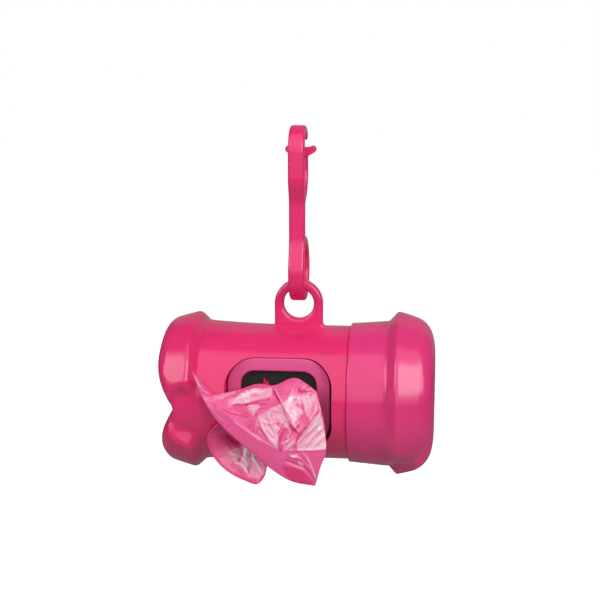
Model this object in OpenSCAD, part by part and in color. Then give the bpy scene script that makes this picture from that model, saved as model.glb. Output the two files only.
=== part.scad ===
// Bone-shaped dispenser for rolled dog waste bags, hanging from a moulded snap clip.
// X runs along the tube towards the screw cap, the window faces -Y, and Z is up.
// The origin is the centre of the clip's hook seat, where a leash ring or belt loop lies.

/* [Tube] */
// Outer radius of the tube at its middle
tube_r = 20; // [19:0.25:22]
// Extra radius of the tube where it meets the closed end
tube_flare = 1; // [0:0.25:1.5]
// Wall thickness of the tube
tube_wall = 2.6; // [2:0.1:3]
// Distance from the hanging tab's centre to the shoulder that stops the cap
shoulder_x = 15.6; // [15:0.2:19]
// Length of the neck that the cap screws over
neck_length = 12.3; // [10:0.2:13]
// Wall thickness of the neck
neck_wall = 1.2; // [1:0.1:1.4]

/* [Bag roll] */
// Length of the roll of bags
roll_length = 60; // [56:0.5:62]
// Radial room that a full roll leaves in the chamber
roll_room = 3.4; // [2.5:0.1:5]
// Outer radius of the cardboard core
core_r = 7.6; // [6.5:0.1:9]
// Wall thickness of the cardboard core
core_wall = 0.8; // [0.6:0.1:1.2]
// Free length at each end of the roll
roll_end_play = 0.9; // [0.6:0.1:1.5]
// Gap between the roll and the chamber wall that it leans on
roll_side_gap = 0.3; // [0.2:0.05:0.5]

/* [Closed end] */
// Length of the closed end's knuckles
closed_length = 13.2; // [12.8:0.1:16]
// Radius of the ridge round the closed end
closed_ridge_r = 23.7; // [22.5:0.1:25]
// Run of the bevel from the tube up to that ridge
closed_bevel = 2.9; // [2:0.1:4]
// Radius at which the closed end's rounding meets its end face
closed_face_edge = 12.6; // [11:0.2:16]
// Direction of the closed end's groove, in degrees above the front
closed_groove_angle = -8; // [-30:1:30]
// Depth that the bag chamber reaches into the closed end
closed_seat = 6.3; // [6:0.1:8]

/* [Screw cap] */
// Radius of the collar at its free edge
collar_r = 20.9; // [20.6:0.1:22]
// Extra radius of the collar where the knuckles start
collar_flare = 0.8; // [0:0.1:1.2]
// Length of the collar
collar_length = 11; // [10:0.25:13]
// Gap between the neck's thread land and the collar
collar_gap = 0.65; // [0.5:0.05:0.8]
// Gap between the collar's free edge and the shoulder
shoulder_gap = 0.3; // [0.2:0.05:0.5]
// Length of the cap's knuckles
cap_length = 14; // [13:0.1:16]
// Radius of the ridge round the cap
cap_ridge_r = 24.8; // [23:0.1:26]
// Run of the bevel from the collar up to that ridge
cap_bevel = 2.9; // [2:0.1:4]
// Radius at which the cap's rounding meets its end face
cap_face_edge = 15; // [11:0.2:16]
// Direction of the cap's groove, in degrees above the front
cap_groove_angle = -60; // [-90:1:0]
// Thickness of the cap's end wall, under the groove
cap_end_wall = 2; // [1.6:0.1:3]

/* [Knuckles] */
// Depth of the groove between two knuckles at the ridge
groove_ridge_depth = 3.5; // [2:0.1:4]
// Depth of the groove at the end face
groove_face_depth = 5.4; // [4:0.1:5.6]
// Half width of the groove at the ridge
groove_half = 10.5; // [8:0.5:12]
// Width of the groove's side walls at the ridge
groove_wall = 4.5; // [3:0.5:5]
// Half width over which the end face domes down into the groove
dome_half = 14; // [11:0.5:16]
// Run of the chamfer behind the ridge
chamfer_run = 6; // [4:0.5:7]
// Fall of the chamfer behind the ridge
chamfer_fall = 1.7; // [0.5:0.1:2.5]
// Radius at which the end face begins to dip to its centre
face_r = 9; // [8:0.5:10]

/* [Hanging tab] */
// Height of the tab's hole above the tube
tab_rise = 7; // [6.5:0.1:9]
// Radius of the tab's hole
tab_hole_r = 4.56; // [4.2:0.02:5]
// Width of the rim round the hole
tab_rim = 2.64; // [2.2:0.02:3]
// Thickness of the tab
tab_thick = 3.6; // [3:0.1:3.8]
// Radius of the tab's rounded edges
tab_edge = 0.9; // [0.4:0.1:1.2]

/* [Window] */
// Distance of the window's centre from the tab's centre, towards the closed end
window_shift = 4.4; // [3:0.2:6]
// Height of the window's centre above the tube's axis
window_z = -0.3; // [-1:0.1:1]
// Width of the window's bezel
bezel_w = 30; // [27:0.5:31]
// Height of the window's bezel
bezel_h = 26.9; // [25:0.1:27.4]
// Width of the bezel's border
bezel_border = 3.9; // [3:0.1:4.5]
// Radius of the bezel's outer corners
bezel_corner = 8; // [6:0.25:9]
// Thickness of the bezel
bezel_thick = 1.5; // [1.2:0.1:1.8]
// Depth of the bezel's face behind the front of the tube
window_recess = 5; // [4.6:0.1:5.4]
// Gap between the bezel and its pocket at each side, if it were centred
pocket_side_gap = 0.57; // [0.4:0.01:0.8]
// Gap between the bezel and its pocket above and below
pocket_top_gap = 0.25; // [0.1:0.05:0.4]
// Thickness of the slit membrane behind the bezel
membrane_thick = 0.8; // [0.5:0.1:1]
// Thickness of the ledge that carries the membrane
ledge_thick = 1; // [0.8:0.1:1.2]
// Width of the slit that the bags come through
slit_w = 17; // [14:0.5:18]
// Height of the slit, as the bag holds it open
slit_h = 1.8; // [1.6:0.1:3]

/* [Leading bag] */
// Clearance between the bag and the edges of the slit
slit_clearance = 0.3; // [0.2:0.05:0.4]
// Thickness of the crumpled film that hangs before the window
film_depth = 4; // [3:0.25:6]
// Gap between the hanging film and the housing
film_gap = 0.5; // [0.3:0.1:1]
// Thickness of the looser layer behind the hanging film
film_layer = 3.2; // [2:0.2:4.8]
// How far that layer lies behind the back of the hanging film
film_layer_back = 1; // [0.5:0.25:1.5]

/* [Snap clip] */
// Width of the clip's band
band_w = 4.7; // [4:0.1:5]
// Thickness of the clip's band
band_t = 3; // [2.6:0.1:3.2]
// Radius of the band's rounded edges
band_edge = 0.8; // [0.4:0.1:1]
// Inner radius of the lower eye
eye_r = 6; // [5.8:0.1:7]
// Inner radius of the hook seat
seat_r = 4.5; // [4:0.1:5.5]
// Height of the hook seat's centre above the eye's centre
clip_height = 35.4; // [35:0.2:42]
// Width of the nose that ends the hook
nose_w = 2.6; // [2:0.1:3]
// Thickness of the gate's arm
gate_t = 2.2; // [1.8:0.1:2.6]
// Width of the gate's arm
gate_w = 4.2; // [3.6:0.1:4.6]
// Length of the gate's cross bar
gate_bar = 9.3; // [8:0.1:10]
// Gap between the gate and the nose
gate_gap = 0.3; // [0.2:0.05:0.5]

/* [Hidden] */
$fn = 72;
eps = 0.01;
through = 60;

shell_pink = [0.91, 0.26, 0.50];
collar_pink = [0.92, 0.33, 0.58];
clip_pink = [0.92, 0.14, 0.40];
film_pink = [0.95, 0.55, 0.72];
membrane_black = [0.13, 0.13, 0.12];
core_brown = [0.66, 0.52, 0.38];

// Tube and neck
chamber_r = tube_r - tube_wall;
neck_r = chamber_r + neck_wall;
neck_end = shoulder_x + neck_length;
roll_x1 = neck_end - roll_end_play;
roll_x0 = roll_x1 - roll_length;
chamber_x0 = roll_x0 - roll_end_play;
closed_x = chamber_x0 + closed_seat;

// The roll leans on the back of the chamber, low down
roll_r = chamber_r - roll_room;
roll_lean = roll_room - roll_side_gap;
roll_lean_angle = -33;
roll_y = roll_lean * cos(roll_lean_angle);
roll_z = roll_lean * sin(roll_lean_angle);

// Cap
collar_x = shoulder_x + shoulder_gap;
cap_x = collar_x + collar_length;
collar_bore_r = neck_r + collar_gap;
cap_cavity_x = cap_x + cap_length - groove_face_depth - cap_end_wall;
cap_cavity_round = 5;
cap_step_run = 1;

// Tab
tab_z = tube_r + tab_rise;
tab_r = tab_hole_r + tab_rim;

// Window
window_x = -window_shift;
window_plane = tube_r - window_recess;
bezel_back = window_plane - bezel_thick;
membrane_back = bezel_back - membrane_thick;
ledge_back = membrane_back - ledge_thick;
pocket_w = bezel_w + 2 * pocket_side_gap;
pocket_h = bezel_h + 2 * pocket_top_gap;
pocket_corner = bezel_corner + pocket_top_gap;
pocket_shift = 0.32;
opening_w = bezel_w - 2 * bezel_border;
opening_h = bezel_h - 2 * bezel_border;
opening_corner = bezel_corner - bezel_border;
ledge_opening_grow = 1;
frame_rim = 1.2;
membrane_gap = 0.15;
slit_rise = 1.2;
cut_lap = 1;
pocket_reach = tube_r + 5;
ledge_reach = ledge_back - 5;
slit_z = window_z + slit_rise;

// Clip, as a path that starts where the eye closes on the stem
eye_mid = eye_r + band_t / 2;
eye_z = tab_z + sqrt(pow(tab_hole_r, 2) - pow(band_w / 2, 2)) + eye_r;
seat_y = -1.5;
seat_z = eye_z + clip_height;
seat_mid = seat_r + band_t / 2;
spine_y = seat_y - seat_mid;
stem_y = -4.8;
eye_top_rise = 1.5;
eye_top_bend = eye_mid + eye_top_rise;
eye_lift = 20;
stem_bend = 8;
stem_run = (stem_y + eye_mid * cos(eye_lift) - stem_bend * (1 - cos(eye_lift))) / sin(eye_lift);
stem_base_z = eye_z + eye_mid * sin(eye_lift) + stem_run * cos(eye_lift) + stem_bend * sin(eye_lift);
waist_length = 9.5;
waist_top_z = stem_base_z + waist_length;
spine_bend = 6;
spine_lean = 25;
spine_step = stem_y - spine_y - 2 * spine_bend * (1 - cos(spine_lean));
spine_run = spine_step / sin(spine_lean);
spine_base_z = waist_top_z + spine_run * cos(spine_lean) + 2 * spine_bend * sin(spine_lean);
nose_start_angle = 140;
nose_end_angle = 178;
nose_lap_angle = 3;
nose_step = 0.1;
band_lap = 0.1;
band_skin = 0.02;

// Gate, pivoting at its moulded root
gate_y = -1.7;
gate_root_rise = 1.9;
gate_z = waist_top_z + gate_root_rise;
gate_root_r = 1.5;
gate_root_gap = 0.1;
gate_low_bend = 8;
gate_high_bend = 14;
gate_tip_drop = 0.9;
gate_high_turn = asin((seat_z - gate_tip_drop - gate_z - gate_low_bend) / gate_high_bend);
gate_tip_y = gate_y + gate_low_bend - gate_high_bend * (1 - cos(gate_high_turn));
gate_tip_z = gate_z + gate_low_bend + gate_high_bend * sin(gate_high_turn);
gate_bar_depth = 2.4;
gate_tooth_rise = 1.3;
gate_reach = norm([gate_tip_y + gate_bar_depth / 2 - gate_y, gate_tip_z + gate_tooth_rise - gate_z]);

// Facets of a knuckle end
sectors = 72;
bevel_rings = 3;
chamfer_rings = 3;
bend_rings = 9;
face_rings = 4;
groove_square = 0.7;

// Where a knuckle end grows from its tube
knuckle_lap = 0.6;
knuckle_step = 0.12;

// Moves what is drawn about the tab's centre and the tube's axis into the clip seat's frame
module at_rest() {
    translate([0, -seat_y, -seat_z]) children();
}

// Turns a revolve about Z into one about the tube's axis
module along_x() {
    rotate([0, 90, 0]) children();
}

module rounded_rect(w, h, r) {
    square([w - 2 * r, h], center = true);
    square([w, h - 2 * r], center = true);
    for (x = [-1, 1], y = [-1, 1])
        translate([x * (w / 2 - r), y * (h / 2 - r)]) circle(r);
}

// A plate of the window, from its back distance to its front distance before the axis
module window_plate(w, h, r, back, front, shift = 0) {
    translate([window_x + shift, -back, window_z]) rotate([90, 0, 0])
        linear_extrude(front - back) rounded_rect(w, h, r);
}

function clamp01(t) = max(0, min(1, t));
function smooth(a, b, t) = let (k = clamp01((t - a) / (b - a))) k * k * (3 - 2 * k);
function mix(a, b, t) = a + (b - a) * t;

// A point of a curve that leaves a on the way to b and meets c on the way from b
function bend_point(a, b, c, t) = pow(1 - t, 2) * a + 2 * t * (1 - t) * b + t * t * c;

// One ring of a knuckle end: [run, radius] on the knuckle, [run, radius] in the groove, and how far
// it is from the ridge, 0, to the end face, 1. The ring goes from the tube, up the bevel, down the
// chamfer, round the bend and over the face.
function knuckle_ring(i, base, ridge, bevel, long, edge) =
    let (
        floor_r = min(base, ridge - groove_ridge_depth),
        bottom = long - groove_face_depth
    )
    i <= bevel_rings ?
        let (t = i / bevel_rings)
        [[bevel * t, mix(base, ridge, t)], [bevel * t, mix(base, floor_r, t)], 0]
    : i <= bevel_rings + bend_rings ?
        let (
            step = i - bevel_rings,
            t = step / bend_rings,
            c = min(1, step / chamfer_rings),
            u = max(0, (step - chamfer_rings) / (bend_rings - chamfer_rings)),
            fall = chamfer_fall / chamfer_run,
            knuckle = bend_point([bevel + chamfer_run * c, ridge - chamfer_fall * c],
                                 [long, ridge - fall * (long - bevel)], [long, edge], u)
        )
        [knuckle,
         [bevel + (bottom - bevel) * pow(sin(90 * t), groove_square),
          edge + (floor_r - edge) * pow(max(0, cos(90 * t)), groove_square)],
         smooth(0, 0.6, t)]
    :
        let (
            r = edge * (1 - (i - bevel_rings - bend_rings) / (face_rings + 1)),
            dip = (1 - cos(180 * min(1, r / face_r))) / 2
        )
        [[bottom + groove_face_depth * dip, r], [bottom, r], 1];

function knuckle_point(ring, angle, groove_angle) =
    let (
        away = ring[0][1] * abs(sin(angle - groove_angle)),
        wall = 1 - smooth(groove_half - groove_wall, groove_half, away),
        dome = pow(max(0, 1 - away / dome_half), 2),
        g = mix(wall, dome, ring[2]),
        run = mix(ring[0][0], ring[1][0], g),
        r = mix(ring[0][1], ring[1][1], g)
    )
    [run, -r * cos(angle), r * sin(angle)];

// The two-knuckled end of a bone. It starts a little inside the part that it grows from, which ends
// at x = 0 with a radius a little over base.
module knuckle_end(base, ridge, bevel, long, edge, groove_angle) {
    start = [[-knuckle_lap, base], [-knuckle_lap, base], 0];
    rings = bevel_rings + bend_rings + face_rings + 1;
    points = [
        for (i = [0 : rings])
            let (ring = i == 0 ? start : knuckle_ring(i - 1, base, ridge, bevel, long, edge))
            for (k = [0 : sectors - 1]) knuckle_point(ring, 360 * k / sectors, groove_angle),
        [long - groove_face_depth, 0, 0]
    ];
    tip = len(points) - 1;
    faces = [
        [for (k = [1 : sectors]) sectors - k],
        for (i = [0 : rings - 1], k = [0 : sectors - 1])
            let (a = i * sectors + k, b = i * sectors + (k + 1) % sectors)
            for (f = [[a, b, a + sectors], [b, b + sectors, a + sectors]]) f,
        for (k = [0 : sectors - 1]) [rings * sectors + k, rings * sectors + (k + 1) % sectors, tip]
    ];
    polyhedron(points, faces);
}

// Right half of a disc's section with rounded edges
module disc_half(r, t, e) {
    intersection() {
        rounded_rect(2 * r, t, e);
        translate([0, -t]) square([2 * r, 2 * t]);
    }
}

// The eyelet that hangs the housing: a plate with rounded edges and a hole with rounded rims
module hanging_tab() {
    foot_z = tube_r - tube_wall / 2;
    difference() {
        union() {
            translate([0, 0, tab_z]) rotate([90, 0, 0])
                rotate_extrude() disc_half(tab_r, tab_thick, tab_edge);
            translate([0, 0, foot_z]) linear_extrude(tab_z - foot_z)
                rounded_rect(2 * tab_r, tab_thick, tab_edge);
        }
        translate([0, 0, tab_z]) rotate([90, 0, 0]) rotate_extrude() {
            translate([0, -tab_thick]) square([tab_hole_r, 2 * tab_thick]);
            for (side = [0, 1]) mirror([0, side]) difference() {
                translate([0, tab_thick / 2 - tab_edge]) square([tab_hole_r + tab_edge, tab_thick]);
                translate([tab_hole_r + tab_edge, tab_thick / 2 - tab_edge]) circle(tab_edge);
            }
        }
    }
}

// Outside of the tube and its neck, turned about the axis
module tube_outside() {
    step = 0.4;
    along_x() rotate_extrude() polygon([
        [0, closed_x],
        [tube_r + tube_flare, closed_x],
        for (t = [0.2 : 0.2 : 1])
            [tube_r + tube_flare * pow(1 - t, 2), mix(closed_x, 0, t)],
        [tube_r, shoulder_x - step],
        [tube_r - step, shoulder_x],
        [neck_r, shoulder_x],
        [neck_r, neck_end - step],
        [neck_r - step, neck_end],
        [0, neck_end]
    ]);
}

module chamber() {
    lead = 0.4;
    corner = 2;
    along_x() rotate_extrude() polygon([
        [0, chamber_x0],
        for (a = [0 : 15 : 90])
            [chamber_r - corner + corner * sin(a), chamber_x0 + corner - corner * cos(a)],
        [chamber_r, neck_end - lead],
        [chamber_r + lead, neck_end + eps],
        [0, neck_end + eps]
    ]);
}

// The frame inside the tube that carries the membrane and the bezel
module window_frame() {
    intersection() {
        window_plate(pocket_w + 2 * frame_rim, pocket_h + 2 * frame_rim,
                     pocket_corner + frame_rim, ledge_back, tube_r, pocket_shift);
        translate([-through, 0, 0]) along_x() cylinder(r = chamber_r + tube_wall / 2, h = 2 * through);
    }
}

module body_shell() {
    color(shell_pink) at_rest() difference() {
        union() {
            difference() {
                union() {
                    tube_outside();
                    translate([closed_x, 0, 0]) mirror([1, 0, 0])
                        knuckle_end(tube_r + tube_flare - knuckle_step, closed_ridge_r,
                                    closed_bevel, closed_length, closed_face_edge,
                                    closed_groove_angle);
                }
                chamber();
            }
            window_frame();
            hanging_tab();
        }
        window_plate(pocket_w, pocket_h, pocket_corner, membrane_back, pocket_reach, pocket_shift);
        window_plate(opening_w + 2 * ledge_opening_grow, opening_h + 2 * ledge_opening_grow,
                     opening_corner + ledge_opening_grow, ledge_reach, tube_r);
    }
}

module window_bezel() {
    color(collar_pink) at_rest() difference() {
        window_plate(bezel_w, bezel_h, bezel_corner, bezel_back, window_plane);
        window_plate(opening_w, opening_h, opening_corner, bezel_back - cut_lap,
                     window_plane + cut_lap);
    }
}

module slit_membrane() {
    color(membrane_black) at_rest() difference() {
        window_plate(pocket_w - 2 * membrane_gap, pocket_h - 2 * membrane_gap,
                     pocket_corner - membrane_gap, membrane_back, bezel_back, pocket_shift);
        translate([window_x, -membrane_back, slit_z]) rotate([90, 0, 0])
            translate([0, 0, -cut_lap]) linear_extrude(membrane_thick + 2 * cut_lap)
                rounded_rect(slit_w, slit_h, slit_h / 2 - eps);
    }
}

// Collar, with a rolled free edge, and the flat disc that the knuckles grow from
module collar_outside() {
    edge = 0.5;
    along_x() rotate_extrude() polygon([
        [0, collar_x],
        for (a = [0 : 30 : 90])
            [collar_r - edge + edge * sin(a), collar_x + edge - edge * cos(a)],
        [collar_r + collar_flare, cap_x],
        [0, cap_x]
    ]);
}

module cap_cavity() {
    lead = 0.4;
    top_r = chamber_r;
    step_x = neck_end + roll_end_play;
    along_x() rotate_extrude() polygon([
        [0, collar_x - eps],
        [collar_bore_r + lead, collar_x - eps],
        [collar_bore_r, collar_x + lead],
        [collar_bore_r, step_x],
        [top_r, step_x + cap_step_run],
        for (a = [0 : 15 : 90])
            [top_r - cap_cavity_round * (1 - cos(a)),
             cap_cavity_x - cap_cavity_round + cap_cavity_round * sin(a)],
        [0, cap_cavity_x]
    ]);
}

module screw_cap() {
    color(collar_pink) at_rest() difference() {
        union() {
            collar_outside();
            translate([cap_x, 0, 0])
                knuckle_end(collar_r + collar_flare - knuckle_step, cap_ridge_r, cap_bevel,
                            cap_length, cap_face_edge, cap_groove_angle);
        }
        cap_cavity();
    }
}

module roll_sleeve(outer, inner) {
    translate([roll_x0, roll_y, roll_z]) along_x() difference() {
        cylinder(r = outer, h = roll_length);
        translate([0, 0, -cut_lap]) cylinder(r = inner, h = roll_length + 2 * cut_lap);
    }
}

module roll_core() {
    color(core_brown) at_rest() roll_sleeve(core_r, core_r - core_wall);
}

module bag_roll() {
    color(film_pink) at_rest() roll_sleeve(roll_r, core_r);
}

// The gathered film between the roll and the window, drawn through the slit
module bag_neck() {
    w = slit_w - 2 * slit_clearance;
    h = slit_h - 2 * slit_clearance;
    front = window_plane + film_gap;
    back = roll_front(slit_z + h / 2) + slit_clearance;
    color(film_pink) at_rest() translate([window_x, -back, slit_z]) rotate([90, 0, 0])
        linear_extrude(front - back) rounded_rect(w, h, h / 2 - eps);
}

// Distance of the roll's front before the axis, at a height
function roll_front(z) = sqrt(pow(roll_r, 2) - pow(z - roll_z, 2)) - roll_y;

// A slice of hanging film: an outline in X and Z, from one distance to another before the axis
module film_slice(outline, back, depth) {
    translate([0, -back, 0]) rotate([90, 0, 0]) linear_extrude(depth) polygon(outline);
}

// Outlines of the first bag where it hangs before the window, seen from the front
film_root = [[-15, 5], [-4, 7], [5, 5.5], [8, 0], [8, -8], [-12, -8], [-16, -2]];
film_sheet = [[-22, 1.5], [-14, 5], [0, 9.3], [6, 8], [9.5, 2], [11.5, -5], [11.5, -11],
              [8, -16], [2, -19], [-8, -16.5]];
film_corner = [[7.8, -14], [7.5, -21.8], [2, -21.8], [-8, -17], [0, -12]];
film_spike = [[-27.8, 8.4], [-25, 2.5], [-20, -1.5], [-17, 4]];
film_roll = [[-24, -9], [-23, -15.5], [-16.5, -20.3], [-10, -22.4], [-7, -19], [-6, -14], [-17, -6]];

module lead_bag() {
    front = max(tube_r + tube_flare, window_plane) + film_gap;
    root = window_plane + film_gap;
    color(film_pink) at_rest() union() {
        hull() {
            film_slice(film_root, root + eps, eps);
            film_slice(film_sheet, front + film_depth / 2, eps);
        }
        hull() {
            film_slice(film_sheet, front + film_depth / 2, eps);
            film_slice(film_root, front + film_depth, eps);
        }
        hull() {
            film_slice(film_corner, front, film_depth);
        }
        hull() {
            film_slice(film_spike, front + film_depth / 4, film_depth / 2);
        }
        hull() {
            film_slice(film_roll, front - film_layer_back, film_layer);
        }
    }
}

// Section of the clip's band, across X and its thickness
module band_section(w, t) {
    rounded_rect(w, t, band_edge);
}

// A straight stretch laps into its neighbours and is a hair fuller than they are, so the two merge
module band_line(w, t, long) {
    translate([0, 0, -band_lap]) linear_extrude(long + 2 * band_lap)
        band_section(w + 2 * band_skin, t + 2 * band_skin);
}

// A bend that starts upwards and turns towards +Y
module band_bend(w, t, r, turn) {
    translate([0, r, 0]) multmatrix([[0, 0, -1, 0], [-1, 0, 0, 0], [0, 1, 0, 0], [0, 0, 0, 1]])
        rotate_extrude(angle = turn) translate([r, 0]) rotate(90) band_section(w, t);
}

// Where a path of lines [length] and bends [radius, turn] is after its first n steps, as
// [y, z, heading]. The heading is counted from +Z, and a positive turn goes towards +Y.
function path_at(start, path, n) =
    n == 0 ? start :
    let (
        at = path_at(start, path, n - 1),
        step = path[n - 1],
        side = sign(len(step) > 1 ? step[1] : 1),
        turned = at[2] + (len(step) > 1 ? step[1] : 0)
    )
    len(step) == 1 ?
        [at[0] + step[0] * sin(at[2]), at[1] + step[0] * cos(at[2]), at[2]]
    :
        [at[0] + side * step[0] * (cos(at[2]) - cos(turned)),
         at[1] - side * step[0] * (sin(at[2]) - sin(turned)), turned];

// Draws a band along a path
module band_path(w, t, start, path) {
    for (n = [0 : len(path) - 1]) {
        at = path_at(start, path, n);
        step = path[n];
        translate([0, at[0], at[1]]) rotate([-at[2], 0, 0])
            if (len(step) == 1)
                band_line(w, t, step[0]);
            else
                mirror([0, step[1] < 0 ? 1 : 0, 0]) band_bend(w, t, step[0], abs(step[1]));
    }
}

// A round along X about the gate's pivot
module about_pivot(r, w) {
    translate([-w / 2, gate_y, gate_z]) along_x() cylinder(r = r, h = w);
}

module clip_frame() {
    eye_path = [
        [-stem_y - (eye_top_bend - eye_mid)],
        [eye_top_bend, 90],
        [0],
        [eye_mid, 180 + eye_lift],
        [stem_run],
        [stem_bend, -eye_lift],
        [waist_top_z - stem_base_z],
        [spine_bend, -spine_lean],
        [spine_run],
        [spine_bend, spine_lean],
        [seat_z - spine_base_z],
        [seat_mid, nose_start_angle]
    ];
    eye_start = [stem_y, eye_z + eye_top_bend, 90];
    color(clip_pink) at_rest() difference() {
        union() {
            band_path(band_w, band_t, eye_start, eye_path);
            band_path(nose_w, band_t - 2 * nose_step,
                      path_at([spine_y, seat_z, 0], [[seat_mid, nose_start_angle - nose_lap_angle]], 1),
                      [[seat_mid, nose_end_angle - nose_start_angle + nose_lap_angle]]);
            band_path(band_w, band_t, [stem_y, gate_z, 90], [[gate_y - stem_y - gate_root_r / 2]]);
        }
        about_pivot(gate_root_r + gate_root_gap, through);
        intersection() {
            about_pivot(gate_reach + gate_gap, through);
            translate([-through / 2, gate_y + gate_low_bend / 2, gate_z]) cube(through);
        }
    }
}

// Cross bar of the gate, with horns that curve up beside the nose
module gate_cross_bar() {
    half = gate_bar / 2;
    end_r = 0.9;
    reach = half - end_r;
    dip = 0.7;
    foot = 1.6;
    translate([0, gate_tip_y + gate_bar_depth / 2, gate_tip_z]) rotate([90, 0, 0])
        linear_extrude(gate_bar_depth) polygon([
            for (a = [0 : 15 : 180]) [reach * cos(a), 2 * end_r - dip * sin(a)],
            for (a = [120 : 30 : 240]) [-reach + end_r * cos(a), end_r + end_r * sin(a)],
            [-gate_w / 2, -foot],
            [gate_w / 2, -foot],
            for (a = [-60 : 30 : 60]) [reach + end_r * cos(a), end_r + end_r * sin(a)]
        ]);
}

module clip_gate() {
    gate_path = [[gate_low_bend, -90], [gate_high_bend, -gate_high_turn]];
    color(clip_pink) at_rest() union() {
        about_pivot(gate_root_r, gate_w);
        band_path(gate_w, gate_t, [gate_y, gate_z, 90], gate_path);
        gate_cross_bar();
        intersection() {
            translate([0, gate_tip_y, gate_tip_z - gate_t / 2])
                linear_extrude(3 * gate_t) rounded_rect(nose_w, gate_t, band_edge);
            about_pivot(gate_reach, through);
        }
    }
}

clip_frame();
clip_gate();
body_shell();
window_bezel();
slit_membrane();
screw_cap();
roll_core();
bag_roll();
bag_neck();
lead_bag();
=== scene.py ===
"""Bone-shaped dispenser for rolled waste bags on a moulded snap clip, dressed for its portrait."""

import math
import random

import bpy
import numpy as np
from bpy.props import FloatProperty, FloatVectorProperty, IntProperty, PointerProperty
from mathutils import Matrix, Vector


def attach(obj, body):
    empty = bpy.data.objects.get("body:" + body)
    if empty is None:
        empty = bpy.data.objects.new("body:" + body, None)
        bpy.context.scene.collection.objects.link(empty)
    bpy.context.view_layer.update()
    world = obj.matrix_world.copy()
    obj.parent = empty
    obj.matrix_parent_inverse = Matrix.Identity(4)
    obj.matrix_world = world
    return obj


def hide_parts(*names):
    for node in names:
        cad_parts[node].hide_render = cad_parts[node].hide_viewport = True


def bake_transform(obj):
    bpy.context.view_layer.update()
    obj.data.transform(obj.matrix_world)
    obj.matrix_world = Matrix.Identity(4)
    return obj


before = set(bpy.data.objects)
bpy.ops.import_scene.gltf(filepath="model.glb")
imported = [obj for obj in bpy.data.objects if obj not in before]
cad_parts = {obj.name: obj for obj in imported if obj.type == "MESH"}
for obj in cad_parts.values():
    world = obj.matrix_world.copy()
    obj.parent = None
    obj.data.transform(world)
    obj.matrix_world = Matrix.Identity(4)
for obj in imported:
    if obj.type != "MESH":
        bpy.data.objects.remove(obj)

bl_info = {
    "name": "Bone Bag Dispenser",
    "version": (1, 0, 0),
    "blender": (4, 5, 0),
    "location": "View3D > Sidebar > Dispenser",
    "description": "Builds a bone-shaped waste bag dispenser with its cap, window, bags and snap clip",
    "category": "Add Mesh",
}

MM = 0.001

# The ends of what a film's mesh says of its colour, from painted shade in a fold to a painted glint
DEEPEST, PALEST = -1, 1.5

# The tube's axis, straight under the centre of the hook seat. Shapes are drawn about it in
# millimetres: X towards the cap, -Y out of the window, Z up.
AXIS = Vector((0, 1.5, -72.308))

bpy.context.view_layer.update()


def length(description, millimetres):
    """A size of the panel, kept in metres."""
    return FloatProperty(description=description, default=millimetres * MM, min=0, unit="LENGTH",
                         precision=5)


def angle(description, degrees):
    """An angle of the panel, kept in radians."""
    return FloatProperty(description=description, default=math.radians(degrees), unit="ROTATION")


def colour(description, red, green, blue):
    """A colour of the panel, written as the eye sees it from 0 to 255 and kept linear."""
    return FloatVectorProperty(description=description, subtype="COLOR", size=3, min=0, max=1,
                               default=[linear(c / 255) for c in (red, green, blue)])


def linear(c):
    """One channel of a display colour as linear light."""
    return c / 12.92 if c <= 0.04045 else ((c + 0.055) / 1.055) ** 2.4


class HousingSizes(bpy.types.PropertyGroup):
    tube_radius: length("Outer radius of the tube at its middle", 20)
    tube_flare: length("Extra radius where the tube meets the closed end", 1)
    wall: length("Wall thickness of the tube", 2.6)
    shoulder: length("From the tab's centre to the shoulder behind the neck", 15.6)
    neck_length: length("Length of the threaded neck", 12.3)
    neck_radius: length("Outer radius of the neck, under its thread", 18.6)
    closed_start: length("From the tab's centre to the closed end's knuckles", 27.6)
    chamber_end: length("From the tab's centre to the chamber's end wall", 33.9)
    ridge_radius: length("Radius of the ridge round the closed end", 23.7)
    bevel_run: length("Run of the bevel up to that ridge", 2.9)
    face_edge: length("Radius at which the rounding meets the end face", 12.6)
    knuckle_length: length("Length of the closed end's knuckles", 13.2)
    groove_angle: angle("Direction of the groove, above the front", -8)
    tab_height: length("Height of the tab's hole over the tube's axis", 27)
    tab_hole: length("Radius of the tab's hole", 4.56)
    tab_radius: length("Outer radius of the tab", 7.2)
    tab_thickness: length("Thickness of the tab", 3.6)
    tab_edge: length("Radius of the tab's rounded edges", 0.9)


class WindowSizes(bpy.types.PropertyGroup):
    middle: length("From the tab's centre to the window's middle", 4.4)
    drop: length("How far the window's middle is below the tube's axis", 0.3)
    width: length("Width of the bezel", 30)
    height: length("Height of the bezel", 26.9)
    border: length("Width of the bezel's border", 3.9)
    corner: length("Radius of the bezel's outer corners", 8)
    depth: length("Distance of the bezel's face from the tube's axis", 15)
    bezel_thickness: length("Thickness of the bezel", 1.5)
    membrane_thickness: length("Thickness of the slit membrane", 0.8)
    ledge_thickness: length("Thickness of the ledge behind the membrane", 1)
    side_gap: length("Gap between the bezel and its pocket at each side", 0.57)
    top_gap: length("Gap between the bezel and its pocket above and below", 0.25)
    slit_width: length("Width of the slit", 17)
    slit_height: length("Height of the slit as the film holds it open", 1.8)


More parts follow.
